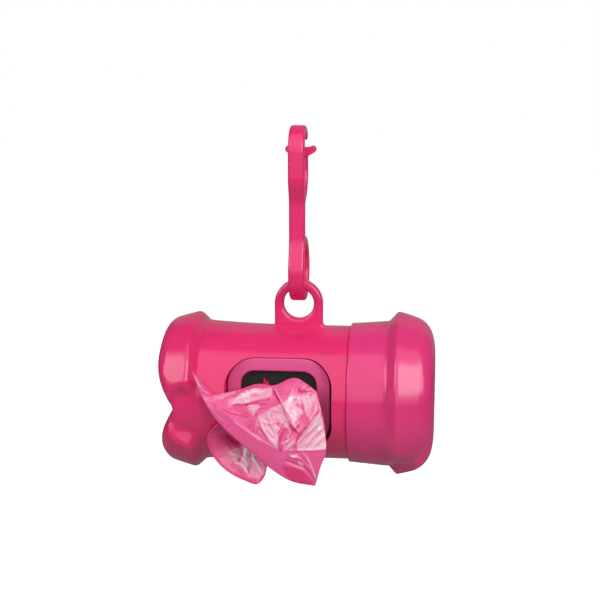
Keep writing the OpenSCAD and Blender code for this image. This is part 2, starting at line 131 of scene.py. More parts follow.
class CapSizes(bpy.types.PropertyGroup):
    collar_start: length("From the tab's centre to the collar's free edge", 15.68)
    collar_length: length("Length of the collar", 11.22)
    collar_radius: length("Radius of the collar at its free edge", 20.9)
    collar_flare: length("Extra radius where the knuckles start", 0.8)
    bore_radius: length("Inner radius of the collar, between its threads", 19.25)
    cavity_radius: length("Inner radius of the cap beyond the neck", 17.4)
    cavity_end: length("From the tab's centre to the cap's end wall", 33.5)
    ridge_radius: length("Radius of the ridge round the cap", 24.8)
    bevel_run: length("Run of the bevel up to that ridge", 2.9)
    face_edge: length("Radius at which the rounding meets the end face", 15)
    knuckle_length: length("Length of the cap's knuckles", 14)
    groove_angle: angle("Direction of the groove, above the front", -60)
    thread_pitch: length("Pitch of the screw thread", 3)


class KnuckleSizes(bpy.types.PropertyGroup):
    ridge_depth: length("Depth of the groove between two knuckles at the ridge", 3.5)
    face_depth: length("Depth of the groove at the end face", 5.4)
    groove_half: length("Half width of the groove at the ridge", 10.5)
    groove_wall: length("Width of the groove's side walls at the ridge", 4.5)
    face_half: length("Half width of the groove at the end face", 5.5)
    face_wall: length("Width of the groove's side walls at the end face", 3.2)
    dome_half: length("Half width over which the end face domes down into the groove", 13.2)
    dome_bottom: length("Radius of that dome's bottom in the groove", 1.2)
    chamfer_run: length("Run of the chamfer behind the ridge", 6)
    chamfer_fall: length("Fall of the chamfer behind the ridge", 1.7)
    face_radius: length("Radius at which the end face dips to its centre", 1)
    wall_end: length("Radius at which the groove's walls have faded on the face", 3)
    softness: length("How far ridges and corners are softened", 0.5)


class BagSizes(bpy.types.PropertyGroup):
    roll_length: length("Length of the roll of bags", 60)
    roll_end: length("From the tab's centre to the roll's cap end", 27)
    roll_radius: length("Outer radius of the roll", 14)
    roll_back: length("How far the roll lies behind the tube's axis", 2.6)
    roll_drop: length("How far the roll lies below the tube's axis", 1.69)
    core_radius: length("Outer radius of the cardboard core", 7.6)
    core_wall: length("Wall thickness of the cardboard core", 0.8)
    turns: IntProperty(description="Turns of film drawn on the roll", default=11, min=3)
    film: length("Drawn thickness of the film, two plies", 0.09)
    crumple: length("Height of the film's largest folds", 0.9)


class ClipSizes(bpy.types.PropertyGroup):
    band_width: length("Width of the clip's band", 4.7)
    band_thickness: length("Thickness of the clip's band", 3)
    band_edge: length("Radius of the band's rounded edges", 0.8)
    nose_width: length("Width of the hook's nose", 2.6)
    eye_radius: length("Inner radius of the lower eye", 6)
    eye_height: length("Height of the eye's centre over the tube's axis", 36.908)
    seat_radius: length("Inner radius of the hook seat", 4.5)
    gate_width: length("Width of the gate's arm", 4.2)
    gate_thickness: length("Thickness of the gate's arm", 2.2)
    bar_length: length("Length of the gate's cross bar", 9.3)
    grain: length("Mesh size of the moulded clip", 0.17)


class Finishes(bpy.types.PropertyGroup):
    shell: colour("Pink of the housing", 234, 43, 112)
    collar: colour("Lighter pink of the cap", 230, 54, 124)
    bezel: colour("Pale pink of the window's bezel", 234, 86, 150)
    clip: colour("Stronger pink of the clip", 237, 40, 112)
    film: colour("Pink of the bag film", 238, 88, 150)
    # Pale end of the film's colours: whitened film with painted highlight
    pale_film: colour("Whitened pink of creased film", 247, 184, 205)
    # Deep end of the film's colours: painted shade in the folds
    deep_film: colour("Pink of doubled film in its folds", 218, 30, 100)
    membrane: colour("Black of the slit membrane", 30, 27, 22)
    cardboard: colour("Brown of the roll's core", 176, 142, 104)


class StageSettings(bpy.types.PropertyGroup):
    azimuth: angle("Turn of the camera to the right of the front", 6.2)
    elevation: angle("Height of the camera over the horizon", 10)
    distance: length("From the camera to the middle of its view", 380)
    lens: FloatProperty(description="Focal length in millimetres", default=75.24)
    view_right: length("Middle of the view, to the right of the tab", 0.3)
    view_up: length("Middle of the view, over the tube's axis", 27.45)
    floor_drop: length("Height of the tube's axis over the floor", 250)


def sizes(group):
    """The sizes of a property group in millimetres, and its angles in radians."""
    values = {}
    for name in group.__annotations__:
        value = getattr(group, name)
        unit = group.bl_rna.properties[name].unit
        values[name] = value / MM if unit == "LENGTH" else value
    return type("Sizes", (), values)


def mix(a, b, t):
    """From a to b as t goes from 0 to 1."""
    return a + (b - a) * t


def smooth(a, b, t):
    """From 0 to 1 as t goes from a to b, with soft ends."""
    k = min(1, max(0, (t - a) / (b - a)))
    return k * k * (3 - 2 * k)


def place(x, y, z):
    """A point about the tube's axis, in the frame and in metres."""
    return (Vector((x, y, z)) + AXIS) * MM


def new_piece(name, points, faces, material=None, body=None, slot=None):
    """A piece of the object from points in millimetres about the tube's axis."""
    mesh = bpy.data.meshes.new(name)
    mesh.from_pydata([place(*p) for p in points], [], faces)
    mesh.validate()
    mesh.update()
    piece = bpy.data.objects.new(name, mesh)
    bpy.context.scene.collection.objects.link(piece)
    if material:
        mesh.materials.append(material)
        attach(piece, body)
    return piece


def loft(rings, closed=False):
    """Points and faces of a skin over rings of equal count. A ring of one point is a pole, and an
    open end is closed with one face."""
    points = []
    starts = []
    for ring in rings:
        starts.append(len(points))
        points.extend(ring)
    faces = []
    pairs = list(zip(range(len(rings)), range(1, len(rings))))
    if closed:
        pairs.append((len(rings) - 1, 0))
    for i, j in pairs:
        a, b = starts[i], starts[j]
        n, m = len(rings[i]), len(rings[j])
        for k in range(max(n, m)):
            q = (k + 1) % max(n, m)
            if n == 1:
                faces.append((a, b + q, b + k))
            elif m == 1:
                faces.append((a + k, a + q, b))
            else:
                faces.append((a + k, a + q, b + q, b + k))
    if not closed:
        for i, ring in ((0, rings[0]), (-1, rings[-1])):
            if len(ring) > 1:
                loop = [starts[i] + k for k in range(len(ring))]
                faces.append(loop[::-1] if i == 0 else loop)
    return points, faces


def face_outwards(piece):
    """Turns a closed mesh's faces outwards."""
    mesh = piece.data
    volume = 0
    for polygon in mesh.polygons:
        a = mesh.vertices[polygon.vertices[0]].co
        for i in range(1, len(polygon.vertices) - 1):
            b = mesh.vertices[polygon.vertices[i]].co
            c = mesh.vertices[polygon.vertices[i + 1]].co
            volume += a.dot(b.cross(c))
    if volume < 0:
        mesh.flip_normals()


def solid(name, rings, *looks, closed=False):
    """A closed piece from rings of points, with its material and body if it is kept."""
    piece = new_piece(name, *loft(rings, closed), *looks)
    face_outwards(piece)
    return piece


def carve(piece, tool, operation):
    """Cuts, joins or crosses a piece with a tool, and takes the tool away."""
    modifier = piece.modifiers.new("carve", "BOOLEAN")
    modifier.operation = operation
    modifier.solver = "MANIFOLD"
    modifier.object = tool
    apply_modifiers(piece)
    bpy.data.objects.remove(tool)


def apply_modifiers(piece):
    """Makes the modifiers of a piece its mesh."""
    graph = bpy.context.evaluated_depsgraph_get()
    mesh = bpy.data.meshes.new_from_object(piece.evaluated_get(graph))
    if len(mesh.polygons) == 0:
        raise RuntimeError(f"nothing is left of {piece.name}")
    piece.modifiers.clear()
    old = piece.data
    piece.data = mesh
    bpy.data.meshes.remove(old)


def shade(piece, degrees):
    """Smooth shading, but for the edges that turn by more than some degrees."""
    piece.data.shade_smooth()
    piece.data.set_sharp_from_angle(angle=math.radians(degrees))


def arc(radius, start, end, count, middle=(0, 0)):
    """Points of an arc in degrees, both ends included."""
    turns = [math.radians(mix(start, end, k / count)) for k in range(count + 1)]
    return [(middle[0] + radius * math.cos(a), middle[1] + radius * math.sin(a)) for a in turns]


def rounded_rect(w, h, r, corner_points=12):
    """A rounded rectangle's outline, anticlockwise."""
    outline = []
    for k, (sx, sy) in enumerate(((1, 1), (-1, 1), (-1, -1), (1, -1))):
        middle = (sx * (w / 2 - r), sy * (h / 2 - r))
        outline += arc(r, 90 * k, 90 * k + 90, corner_points, middle)
    return outline


# Bone ends

# Points round the housing and the cap
SECTORS = 240

# Height of the screw threads' ridges, in millimetres
THREAD_HEIGHT = 0.45


def knuckle_profile(base, ridge, bevel, long, edge, k):
    """Rings of a knuckled end from its tube outwards, each [run on a knuckle, radius on a knuckle,
    run in the groove, radius in the groove, 0 at the ridge to 1 at the end face]."""
    bevel_rings, chamfer_rings, bend_rings, face_rings = 8, 16, 54, 16
    fullness, flat_share = 0.7, 0.6
    floor = min(base, ridge - k.ridge_depth)
    bottom = long - k.face_depth
    fall = k.chamfer_fall / k.chamfer_run
    corner = (long, ridge - fall * (long - bevel))
    rings = []
    for i in range(bevel_rings):
        t = i / bevel_rings
        rings.append([bevel * t, mix(base, ridge, t), bevel * t, mix(base, floor, t), 0])
    for i in range(bend_rings + 1):
        t = i / bend_rings
        c = min(1, i / chamfer_rings)
        u = max(0, (i - chamfer_rings) / (bend_rings - chamfer_rings))
        leaves = (bevel + k.chamfer_run * c, ridge - k.chamfer_fall * c)
        x, r = [(1 - u) ** 2 * p + 2 * u * (1 - u) * q + u * u * e
                for p, q, e in zip(leaves, corner, (long, edge))]
        rise = math.sin(math.pi / 2 * t) ** fullness
        sink = max(0, math.cos(math.pi / 2 * t)) ** fullness
        rings.append([x, r, mix(bevel, bottom, rise), mix(edge, floor, sink), smooth(0, flat_share, t)])
    for i in range(1, face_rings):
        r = edge * (1 - i / face_rings)
        dip = (1 - math.cos(math.pi * min(1, r / k.face_radius))) / 2
        rings.append([bottom + k.face_depth * dip, r, bottom, r, 1])
    return rings


def soften(rings, reach):
    """Rounds the corners of a profile by averaging each ring with its neighbours along the skin."""
    values = np.array(rings, float)
    steps = np.hypot(np.diff(values[:, 0]), np.diff(values[:, 1]))
    along = np.concatenate([[0], np.cumsum(steps)])
    weights = np.exp(-((along[:, None] - along[None, :]) / reach) ** 2 / 2)
    weights *= np.gradient(along)[None, :]
    weights /= weights.sum(axis=1, keepdims=True)
    softened = weights @ values
    softened[0] = values[0]
    return softened.tolist()


def knuckle_skin(rings, start_x, side, k, groove_angle):
    """Rings of points for a softened profile, from the tube outwards to the pole."""
    kept, fade_out = 0.72, 4.2
    skin = []
    for lobe_x, lobe_r, groove_x, groove_r, reach in rings:
        ring = []
        for s in range(SECTORS):
            a = 2 * math.pi * s / SECTORS
            away = lobe_r * abs(math.sin(a - groove_angle))
            half = mix(k.groove_half, k.face_half, reach)
            wall = 1 - smooth(half - mix(k.groove_wall, k.face_wall, reach), half, away)
            sunk = math.hypot(away, k.dome_bottom) - k.dome_bottom
            dome = max(0, 1 - sunk / k.dome_half) ** 2
            held = mix(1, kept * smooth(k.wall_end, fade_out * k.wall_end, lobe_r), reach)
            g = max(wall * held, dome * reach)
            x = mix(lobe_x, groove_x, g)
            r = mix(lobe_r, groove_r, g)
            ring.append((start_x + side * x, -r * math.cos(a), r * math.sin(a)))
        skin.append(ring)
    skin.append([(start_x + side * rings[-1][2], 0, 0)])
    return skin


def turned(profile):
    """Rings of points for a profile of (x, radius) turned about the tube's axis."""
    turns = [2 * math.pi * s / SECTORS for s in range(SECTORS)]
    return [[(x, -r * math.cos(a), r * math.sin(a)) for a in turns] if r > 0 else [(x, 0, 0)]
            for x, r in profile]


def plate(name, w, h, r, back, front, shift, lift):
    """A rounded plate across the window, between two distances before the tube's axis."""
    outline = rounded_rect(w, h, r)
    return solid(name, [[(shift + x, -y, lift + z) for x, z in outline] for y in (back, front)])


# Materials


def feed(tree, made, *sources, **inputs):
    """Links sockets to a node's first inputs, and gives others by name a value or a socket."""
    for socket, source in zip(made.inputs, sources):
        tree.links.new(source, socket)
    for key, value in inputs.items():
        socket = made.inputs[key.replace("_", " ")]
        if isinstance(value, bpy.types.NodeSocket):
            tree.links.new(value, socket)
        else:
            socket.default_value = value


def node(tree, kind, *sources, **settings):
    """A shader node, with its properties and what feeds its inputs."""
    made = tree.nodes.new(kind)
    for key in [key for key in settings if hasattr(made, key)]:
        setattr(made, key, settings.pop(key))
    feed(tree, made, *sources, **settings)
    return made


def new_material(name):
    """A material with its node tree and its shader."""
    material = bpy.data.materials.new(name)
    material.use_nodes = True
    tree = material.node_tree
    return material, tree, tree.nodes["Principled BSDF"]


def noise_field(tree, scale, detail, roughness=0.55):
    """Noise in the piece's own space, with its scale in lumps per metre."""
    space = node(tree, "ShaderNodeTexCoord").outputs["Object"]
    field = node(tree, "ShaderNodeTexNoise", Vector=space, Scale=scale, Detail=detail,
                 Roughness=roughness)
    return field.outputs["Fac"]


def spread(tree, value, low, high):
    """Maps a noise value from 0.3..0.7 to low..high."""
    made = node(tree, "ShaderNodeMapRange", value, From_Min=0.3, From_Max=0.7, To_Min=low,
                To_Max=high)
    return made.outputs["Result"]


def two_tone(tree, factor, first, second):
    """Blends two colours by a factor."""
    made = node(tree, "ShaderNodeMix", factor, data_type="RGBA")
    for socket in made.inputs:
        if socket.identifier in ("A_Color", "B_Color"):
            socket.default_value = first if socket.identifier == "A_Color" else second
    return next(o for o in made.outputs if o.type == "RGBA")


def tinted(rgb, factor):
    """A lighter or darker colour, with its alpha."""
    return [min(1, c * factor) for c in rgb] + [1]


def bump(tree, height, strength, depth):
    """Normals of a surface with fine relief."""
    made = node(tree, "ShaderNodeBump", Height=height, Strength=strength, Distance=depth)
    return made.outputs["Normal"]


def moulded_plastic(name, rgb, gloss):
    """Glossy moulded plastic: faint flow clouds in its colour, and the fine skin of the mould."""
    material, tree, shader = new_material(name)
    clouds = spread(tree, noise_field(tree, 90, 3), 0, 1)
    tone = two_tone(tree, clouds, tinted(rgb, 0.94), tinted(rgb, 1.05))
    skin = spread(tree, noise_field(tree, 650, 4), gloss - 0.05, gloss + 0.06)
    feed(tree, shader, Base_Color=tone, Roughness=skin, IOR=1.5, Specular_IOR_Level=0.7,
         Normal=bump(tree, noise_field(tree, 110, 2), 0.1, 0.0004))
    return material


def membrane_rubber(name, rgb):
    """Matt black rubber with a faint pressed grain and dust in it."""
    material, tree, shader = new_material(name)
    mottle = spread(tree, noise_field(tree, 520, 5, 0.7), 0, 1)
    tone = two_tone(tree, mottle, tinted(rgb, 0.45), tinted(rgb, 1.5))
    rough = spread(tree, noise_field(tree, 900, 3), 0.5, 0.75)
    feed(tree, shader, Base_Color=tone, Roughness=rough,
         Normal=bump(tree, noise_field(tree, 1800, 4, 0.7), 0.5, 0.0002))
    return material


def cardboard(name, rgb):
    """Wound cardboard, with fibres and its spiral seam's shade."""
    material, tree, shader = new_material(name)
    fibres = spread(tree, noise_field(tree, 1500, 6, 0.7), 0, 1)
    tone = two_tone(tree, fibres, tinted(rgb, 0.78), tinted(rgb, 1.12))
    feed(tree, shader, Base_Color=tone, Roughness=0.85,
         Normal=bump(tree, noise_field(tree, 2500, 4, 0.7), 0.4, 0.00012))
    return material


def bag_film(name, deep, film, pale):
    """Thin glossy film. Its mesh says how deep or, over nought, how pale its colour is: the deep end is
    painted shade, the pale end whitened film with painted highlight, and the palest a painted glint.
    """
    material, tree, shader = new_material(name)
    # The mesh's tint: painted shade, whitened film and painted highlights
    creased = node(tree, "ShaderNodeAttribute", attribute_name="crease").outputs["Fac"]
    clouds = spread(tree, noise_field(tree, 300, 3, 0.6), -0.07, 0.07)
    total = node(tree, "ShaderNodeMath", creased, clouds, operation="ADD").outputs["Value"]
    share = node(tree, "ShaderNodeMapRange", total, From_Min=DEEPEST, From_Max=PALEST)
    tones = node(tree, "ShaderNodeValToRGB", share.outputs["Result"])
    # Deepest stop is painted shade, palest stop a near-white painted glint
    tones.color_ramp.elements[0].color = list(deep) + [1]
    tones.color_ramp.elements[1].color = [mix(c, 1, 0.6) for c in pale] + [1]
    tones.color_ramp.elements.new(0.4).color = list(film) + [1]
    tones.color_ramp.elements.new(0.8).color = list(pale) + [1]
    gloss = spread(tree, noise_field(tree, 900, 3), 0.24, 0.36)
    feed(tree, shader, Base_Color=tones.outputs["Color"], Roughness=gloss, Coat_Weight=0.3,
         Coat_Roughness=0.2, Normal=bump(tree, noise_field(tree, 900, 2, 0.5), 0.06, 0.0003))
    return material


# Housing

# The window's pocket lies this much to the right of its bezel, in millimetres
POCKET_SHIFT = 0.32


def housing_skin(s, k):
    """Rings of the housing, from its closed end's pole over the outside, the neck and the mouth,
    and down the chamber to the pole of its end wall."""
    closed_x = -s.closed_start
    base = s.tube_radius + s.tube_flare
    tube = []
    for t in np.linspace(0, 1, 14, endpoint=False):
        r = s.tube_radius + s.tube_flare * t * t
        tube.append([closed_x * (1 - t), r, closed_x * (1 - t), r, 0])
    knuckles = knuckle_profile(base, s.ridge_radius, s.bevel_run, s.knuckle_length, s.face_edge, k)
    rings = soften(tube + knuckles, k.softness)
    outside = knuckle_skin(rings, closed_x, -1, k, s.groove_angle)[::-1]

    mouth = s.shoulder + s.neck_length
    chamber = s.tube_radius - s.wall
    fine, round_lip, round_corner, pole = 0.12, 0.3, 2, 6
    shoulder = arc(fine, 90, 0, 3, (s.shoulder - fine, s.tube_radius - fine))
    lip = arc(round_lip, 90, 0, 3, (mouth - round_lip, s.neck_radius - round_lip))
    lip += arc(round_lip, 0, -90, 3, (mouth - round_lip, chamber + round_lip))
    corner = arc(round_corner, 90, 180, 6, (-s.chamber_end + round_corner, chamber - round_corner))
    steps = [(x, s.tube_radius) for x in np.linspace(3, s.shoulder - 1, 6)]
    neck = [(x, s.neck_radius) for x in (s.shoulder + 0.02, s.shoulder + 0.6, mouth - 1)]
    inside = [(x, chamber) for x in np.linspace(mouth - 2, -s.chamber_end + 3, 12)]
    profile = steps + shoulder + neck + lip + inside + corner + [(-s.chamber_end, pole)]
    return outside + turned(profile) + [[(-s.chamber_end, 0, 0)]]


def hanging_tab(s):
    """The eyelet: a plate with rounded edges, round a hole with rounded rims."""
    count = 72
    foot = s.tube_radius - s.wall / 2
    e = s.tab_edge
    half = s.tab_thickness / 2
    section = arc(e, 90, 0, 5, (0, half - e)) + arc(e, 0, -90, 5, (0, e - half))
    flare = [(0, 1.1), (0.12, 0.7), (0.4, 0.32), (0.9, 0.02), (0.9, -0.6)]
    rings = []
    for out, y in section:
        r = s.tab_radius - (e - out)
        ring = [(r * math.cos(a), y, s.tab_height + r * math.sin(a))
                for a in [math.pi * k / count for k in range(count + 1)]]
        ring += [(-r - wider, y, s.tube_radius + up) for wider, up in flare]
        ring += [(-r, y, foot), (r, y, foot)]
        ring += [(r + wider, y, s.tube_radius + up) for wider, up in flare[::-1]]
        rings.append(ring)
    tab = solid("tab", rings)
    rim = [(s.tab_hole + e - e * math.sin(t), half - e + e * math.cos(t))
           for t in np.linspace(0, math.pi / 2, 6)]
    outline = [(s.tab_hole + e, 2 * half)] + rim + [(r, -y) for r, y in rim[::-1]]
    outline.append((s.tab_hole + e, -2 * half))
    turns = np.linspace(0, 2 * math.pi, count, endpoint=False)
    hole = solid("hole", [[(r * math.cos(a), y, s.tab_height + r * math.sin(a)) for a in turns]
                          for r, y in outline])
    carve(tab, hole, "DIFFERENCE")
    return tab


def thread(name, radius, crest, start, end, pitch, phase, material, body, slot):
    """A screw thread's ridge: a helix that swells from nothing at each end."""
    per_turn, foot, top, sunk, run_in = 72, 0.75, 0.3, 0.12, 0.12
    root = radius - sunk * math.copysign(1, crest - radius)
    count = int((end - start) / pitch * per_turn)
    rings = []
    for i in range(count + 1):
        t = i / count
        x = mix(start, end, t)
        a = 2 * math.pi * (x - start) / pitch + phase
        swell = max(0.02, smooth(0, run_in, t) * smooth(0, run_in, 1 - t))
        high = radius + (crest - radius) * swell
        section = [(-foot, root), (-top, high), (top, high), (foot, root)]
        rings.append([(x + dx, -r * math.cos(a), r * math.sin(a)) for dx, r in section])
    shade(solid(name, rings, material, body, slot), 50)


class DISPENSER_OT_housing(bpy.types.Operator):
    """Model the housing with its closed bone end, window pocket, hanging tab and neck"""
    bl_idname = "dispenser.housing"
    bl_label = "Housing"

    def execute(self, context):
        s = sizes(context.scene.dispenser_housing)
        w = sizes(context.scene.dispenser_window)
        k = sizes(context.scene.dispenser_knuckles)
        c = sizes(context.scene.dispenser_cap)
        finish = context.scene.dispenser_finishes
        plastic = moulded_plastic("shell_plastic", finish.shell, 0.19)

        shell = solid("housing_shell", housing_skin(s, k), plastic, "housing", "shell")
        wide = w.width + 2 * w.side_gap
        high = w.height + 2 * w.top_gap
        corner = w.corner + w.top_gap

        # A block behind the wall carries the window, and a pocket and an opening are cut in it
        rim, through, grow = 1.2, 6, 1
        middle = POCKET_SHIFT - w.middle
        back = w.depth - w.bezel_thickness - w.membrane_thickness
        block = plate("block", wide + 2 * rim, high + 2 * rim, corner + rim,
                      back - w.ledge_thickness, s.tube_radius + 1, middle, -w.drop)
        half_wall = s.tube_radius - s.wall / 2
        core = solid("core", turned([(x, half_wall) for x in (-40, 30)]))
        pocket = plate("pocket", wide, high, corner, back, s.tube_radius + through, middle, -w.drop)
        opening = plate("opening", w.width - 2 * (w.border - grow), w.height - 2 * (w.border - grow),
                        w.corner - w.border + grow, back - through, s.tube_radius, -w.middle, -w.drop)
        carve(block, core, "INTERSECT")
        carve(shell, block, "UNION")
        carve(shell, hanging_tab(s), "UNION")
        carve(shell, pocket, "DIFFERENCE")
        carve(shell, opening, "DIFFERENCE")
        shell.data.materials.clear()
        shell.data.materials.append(plastic)
        shade(shell, 32)
        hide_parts("body_shell")
        start, end = s.shoulder + 2, s.shoulder + s.neck_length - 1.6
        thread("neck_thread", s.neck_radius, s.neck_radius + THREAD_HEIGHT, start, end,
               c.thread_pitch, 0, plastic, "housing", "shell")
        return {"FINISHED"}


# Window


class DISPENSER_OT_window(bpy.types.Operator):
    """Model the window's bezel ring and the slit membrane behind it"""
    bl_idname = "dispenser.window"
    bl_label = "Window"

    def execute(self, context):
        w = sizes(context.scene.dispenser_window)
        finish = context.scene.dispenser_finishes
        self.bezel(w, moulded_plastic("bezel_plastic", finish.bezel, 0.34))
        self.membrane(w, membrane_rubber("membrane_rubber", finish.membrane))
        return {"FINISHED"}

    def bezel(self, w, plastic):
        """A flat ring with rounded edges, its inner edge rounded more than its outer one."""
        outer, inner = 0.35, 0.6
        front, back = w.depth, w.depth - w.bezel_thickness
        section = [(0, back)]
        section += [(outer - x, y) for x, y in arc(outer, 0, 90, 5, (0, front - outer))]
        section += [(w.border - inner + x, y) for x, y in arc(inner, 90, 0, 6, (0, front - inner))]
        section.append((w.border, back))
        rings = []
        for inset, y in section:
            outline = rounded_rect(w.width - 2 * inset, w.height - 2 * inset, w.corner - inset, 16)
            rings.append([(x - w.middle, -y, z - w.drop) for x, z in outline])
        piece = solid("window_ring", rings, plastic, "housing", "trim", closed=True)
        shade(piece, 50)
        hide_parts("window_bezel")

    def membrane(self, w, rubber):
        """A sheet whose slit has lips that the film pushes forwards."""
        gap, slit_rise, lip_push = 0.15, 1.2, 0.55
        front = w.depth - w.bezel_thickness
        back = front - w.membrane_thickness
        wide = w.width + 2 * (w.side_gap - gap)
        high = w.height + 2 * (w.top_gap - gap)
        slit_z = slit_rise - w.drop
        outside = rounded_rect(wide, high, w.corner + w.top_gap - gap)
        slit = rounded_rect(w.slit_width, w.slit_height, w.slit_height / 2 - 0.01)
        steps = [0, 0.25, 0.5, 0.7, 0.82, 0.9, 0.96, 1]
        rings = []
        for y, t in [(front, t) for t in steps] + [(back, t) for t in steps[::-1]]:
            rings.append([(mix(ox + POCKET_SHIFT, ix, t) - w.middle, -y - lip_push * t ** 6,
                           mix(oz - w.drop, iz + slit_z, t))
                          for (ox, oz), (ix, iz) in zip(outside, slit)])
        piece = solid("slit_sheet", rings, rubber, "housing", "membrane", closed=True)
        shade(piece, 40)
        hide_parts("slit_membrane")


# Cap


class DISPENSER_OT_cap(bpy.types.Operator):
    """Model the screw cap with its collar and the other bone end"""
    bl_idname = "dispenser.cap"
    bl_label = "Cap"

    def execute(self, context):
        s = sizes(context.scene.dispenser_cap)
        k = sizes(context.scene.dispenser_knuckles)
        plastic = moulded_plastic("cap_plastic", context.scene.dispenser_finishes.collar, 0.19)
        end = s.collar_start + s.collar_length
        base = s.collar_radius + s.collar_flare
        collar = []
        for t in np.linspace(0, 1, 12, endpoint=False):
            x, r = mix(1 - s.collar_length, 0, t), mix(s.collar_radius, base, t)
            collar.append([x, r, x, r, 0])
        knuckles = knuckle_profile(base, s.ridge_radius, s.bevel_run, s.knuckle_length, s.face_edge, k)
        rings = soften(collar + knuckles, k.softness)
        outside = knuckle_skin(rings, end, 1, k, s.groove_angle)

        edge, step, round_end, pole = 0.5, 28.8, 5, 6
        rolled = arc(edge, 180, 90, 5, (s.collar_start + edge, s.collar_radius - edge))
        cavity = [(s.collar_start + 0.4, s.bore_radius), (step, s.bore_radius),
                  (step + 1, s.cavity_radius)]
        cavity += arc(round_end, 90, 0, 8, (s.cavity_end - round_end, s.cavity_radius - round_end))
        profile = [(s.cavity_end, pole)] + cavity[::-1]
        profile += [(s.collar_start, s.bore_radius + 0.35)] + rolled
        rings = [[(s.cavity_end, 0, 0)]] + turned(profile) + outside
        cap = solid("cap_shell", rings, plastic, "cap", "trim")
        shade(cap, 32)
        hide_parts("screw_cap")
        start, end, phase = s.collar_start + 3.2, step - 0.9, 0.2
        thread("cap_thread", s.bore_radius, s.bore_radius - THREAD_HEIGHT, start, end,
               s.thread_pitch, phase, plastic, "cap", "trim")
        return {"FINISHED"}


# Roll of bags


class DISPENSER_OT_roll(bpy.types.Operator):
    """Wind the roll of bags on its cardboard core"""
    bl_idname = "dispenser.roll"
    bl_label = "Roll of bags"

    def execute(self, context):
        s = sizes(context.scene.dispenser_bags)
        finish = context.scene.dispenser_finishes
        film = bag_film("roll_film", finish.deep_film, finish.film, finish.pale_film)
        core = cardboard("core_board", finish.cardboard)
        self.wind_film(s, film)
        self.wind_core(s, core)
        return {"FINISHED"}

    def point(self, s, x, r, a):
        """A point at a radius and a turn about the roll's own axis."""
        return (x, s.roll_back - r * math.sin(a), r * math.cos(a) - s.roll_drop)

    def wind_film(self, s, film):
        """One long strip wound in a spiral, each turn a little out of line with the last."""
        steps, loose, ply, margin, stray = 96, 0.03, 0.06, 0.05, 0.18
        rng = random.Random(5)
        shifts = [rng.uniform(-stray, stray) for _ in range(s.turns + 2)]
        start_x = s.roll_end - s.roll_length
        pitch = (s.roll_radius - s.core_radius - margin) / s.turns
        rings = []
        for i in range(s.turns * steps + 1):
            turn = i / steps
            a = 2 * math.pi * turn
            inner = s.core_radius + loose + pitch * max(0, turn - 1)
            outer = max(s.core_radius + loose + pitch * turn - ply, inner + 0.02)
            shift = abs(mix(shifts[int(turn)], shifts[int(turn) + 1], turn - int(turn)))
            flute = 0.05 * math.sin(9 * a + 3 * turn)
            x0 = start_x + shift + margin
            x1 = s.roll_end - shift - margin + flute
            section = ((x0, inner), (x0, outer), (mix(x0, x1, 0.5), outer + 0.02), (x1, outer),
                       (x1, inner))
            rings.append([self.point(s, x, r, a) for x, r in section])
        piece = solid("wound_film", rings, film, "roll", "film")
        shade(piece, 50)
        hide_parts("bag_roll")

    def wind_core(self, s, board):
        """A cardboard tube with the spiral step of its wound plies."""
        x0, x1 = s.roll_end - s.roll_length, s.roll_end
        seam_pitch, seam_depth = 24, 0.08
        turns = np.linspace(0, 2 * math.pi, 72, endpoint=False)
        rings = []
        for x in np.linspace(x0, x1, 49):
            ring = []
            for a in turns:
                along = (x - x0) / seam_pitch - a / (2 * math.pi)
                sunk = seam_depth * abs(along - round(along)) * 2
                ring.append(self.point(s, x, s.core_radius - sunk, a))
            rings.append(ring)
        for x in np.linspace(x1, x0, 13):
            rings.append([self.point(s, x, s.core_radius - s.core_wall, a) for a in turns])
        piece = solid("core_tube", rings, board, "roll", "core", closed=True)
        shade(piece, 50)
        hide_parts("roll_core")


# Clip


def path_at(start, path, along):
    """Where a path of lines (length,) and bends (radius, turn in degrees) is after a distance, as
    (y, z, heading). The heading is counted from +Z in radians, and positive turns go towards +Y."""
    y, z, heading = start
    for step in path:
        run = path_length([step])
        part = min(1, along / run) if run > 0 else 1
        if len(step) == 1:
            y += step[0] * part * math.sin(heading)
            z += step[0] * part * math.cos(heading)
        else:
            side = math.copysign(1, step[1])
            end = heading + math.radians(step[1]) * part
            y += side * step[0] * (math.cos(heading) - math.cos(end))
            z -= side * step[0] * (math.sin(heading) - math.sin(end))
            heading = end
        along -= run
        if along <= 0:
            break
    return y, z, heading


def path_length(path):
    """Length of a path's lines and bends."""
    return sum(p[0] if len(p) == 1 else p[0] * abs(math.radians(p[1])) for p in path)


def band(name, w, t, edge, start, path):
    """A band of rounded section swept along a path in the plane of the clip."""
    step = 0.5
    outline = rounded_rect(w, t, edge, 5)
    total = path_length(path)
    count = max(2, int(total / step))
    rings = []
    for i in range(count + 1):
        y, z, heading = path_at(start, path, total * i / count)
        rings.append([(x, y + d * math.cos(heading), z - d * math.sin(heading)) for x, d in outline])
    return solid(name, rings)


def round_bar(name, r, w, y, z):
    """A round bar along X."""
    ring = [(y + dy, z + dz) for dy, dz in arc(r, 0, 360, 48)[:-1]]
    return solid(name, [[(x, a, b) for a, b in ring] for x in (-w / 2, w / 2)])


def mould(piece, grain, passes):
    """Fuses a piece's parts into one skin and rounds their corners a little, as a mould does."""
    remesh = piece.modifiers.new("fuse", "REMESH")
    remesh.mode = "VOXEL"
    remesh.voxel_size = grain * MM
    apply_modifiers(piece)
    rounding = piece.modifiers.new("round", "SMOOTH")
    rounding.factor = 0.5
    rounding.iterations = passes
    apply_modifiers(piece)
    piece.data.shade_smooth()


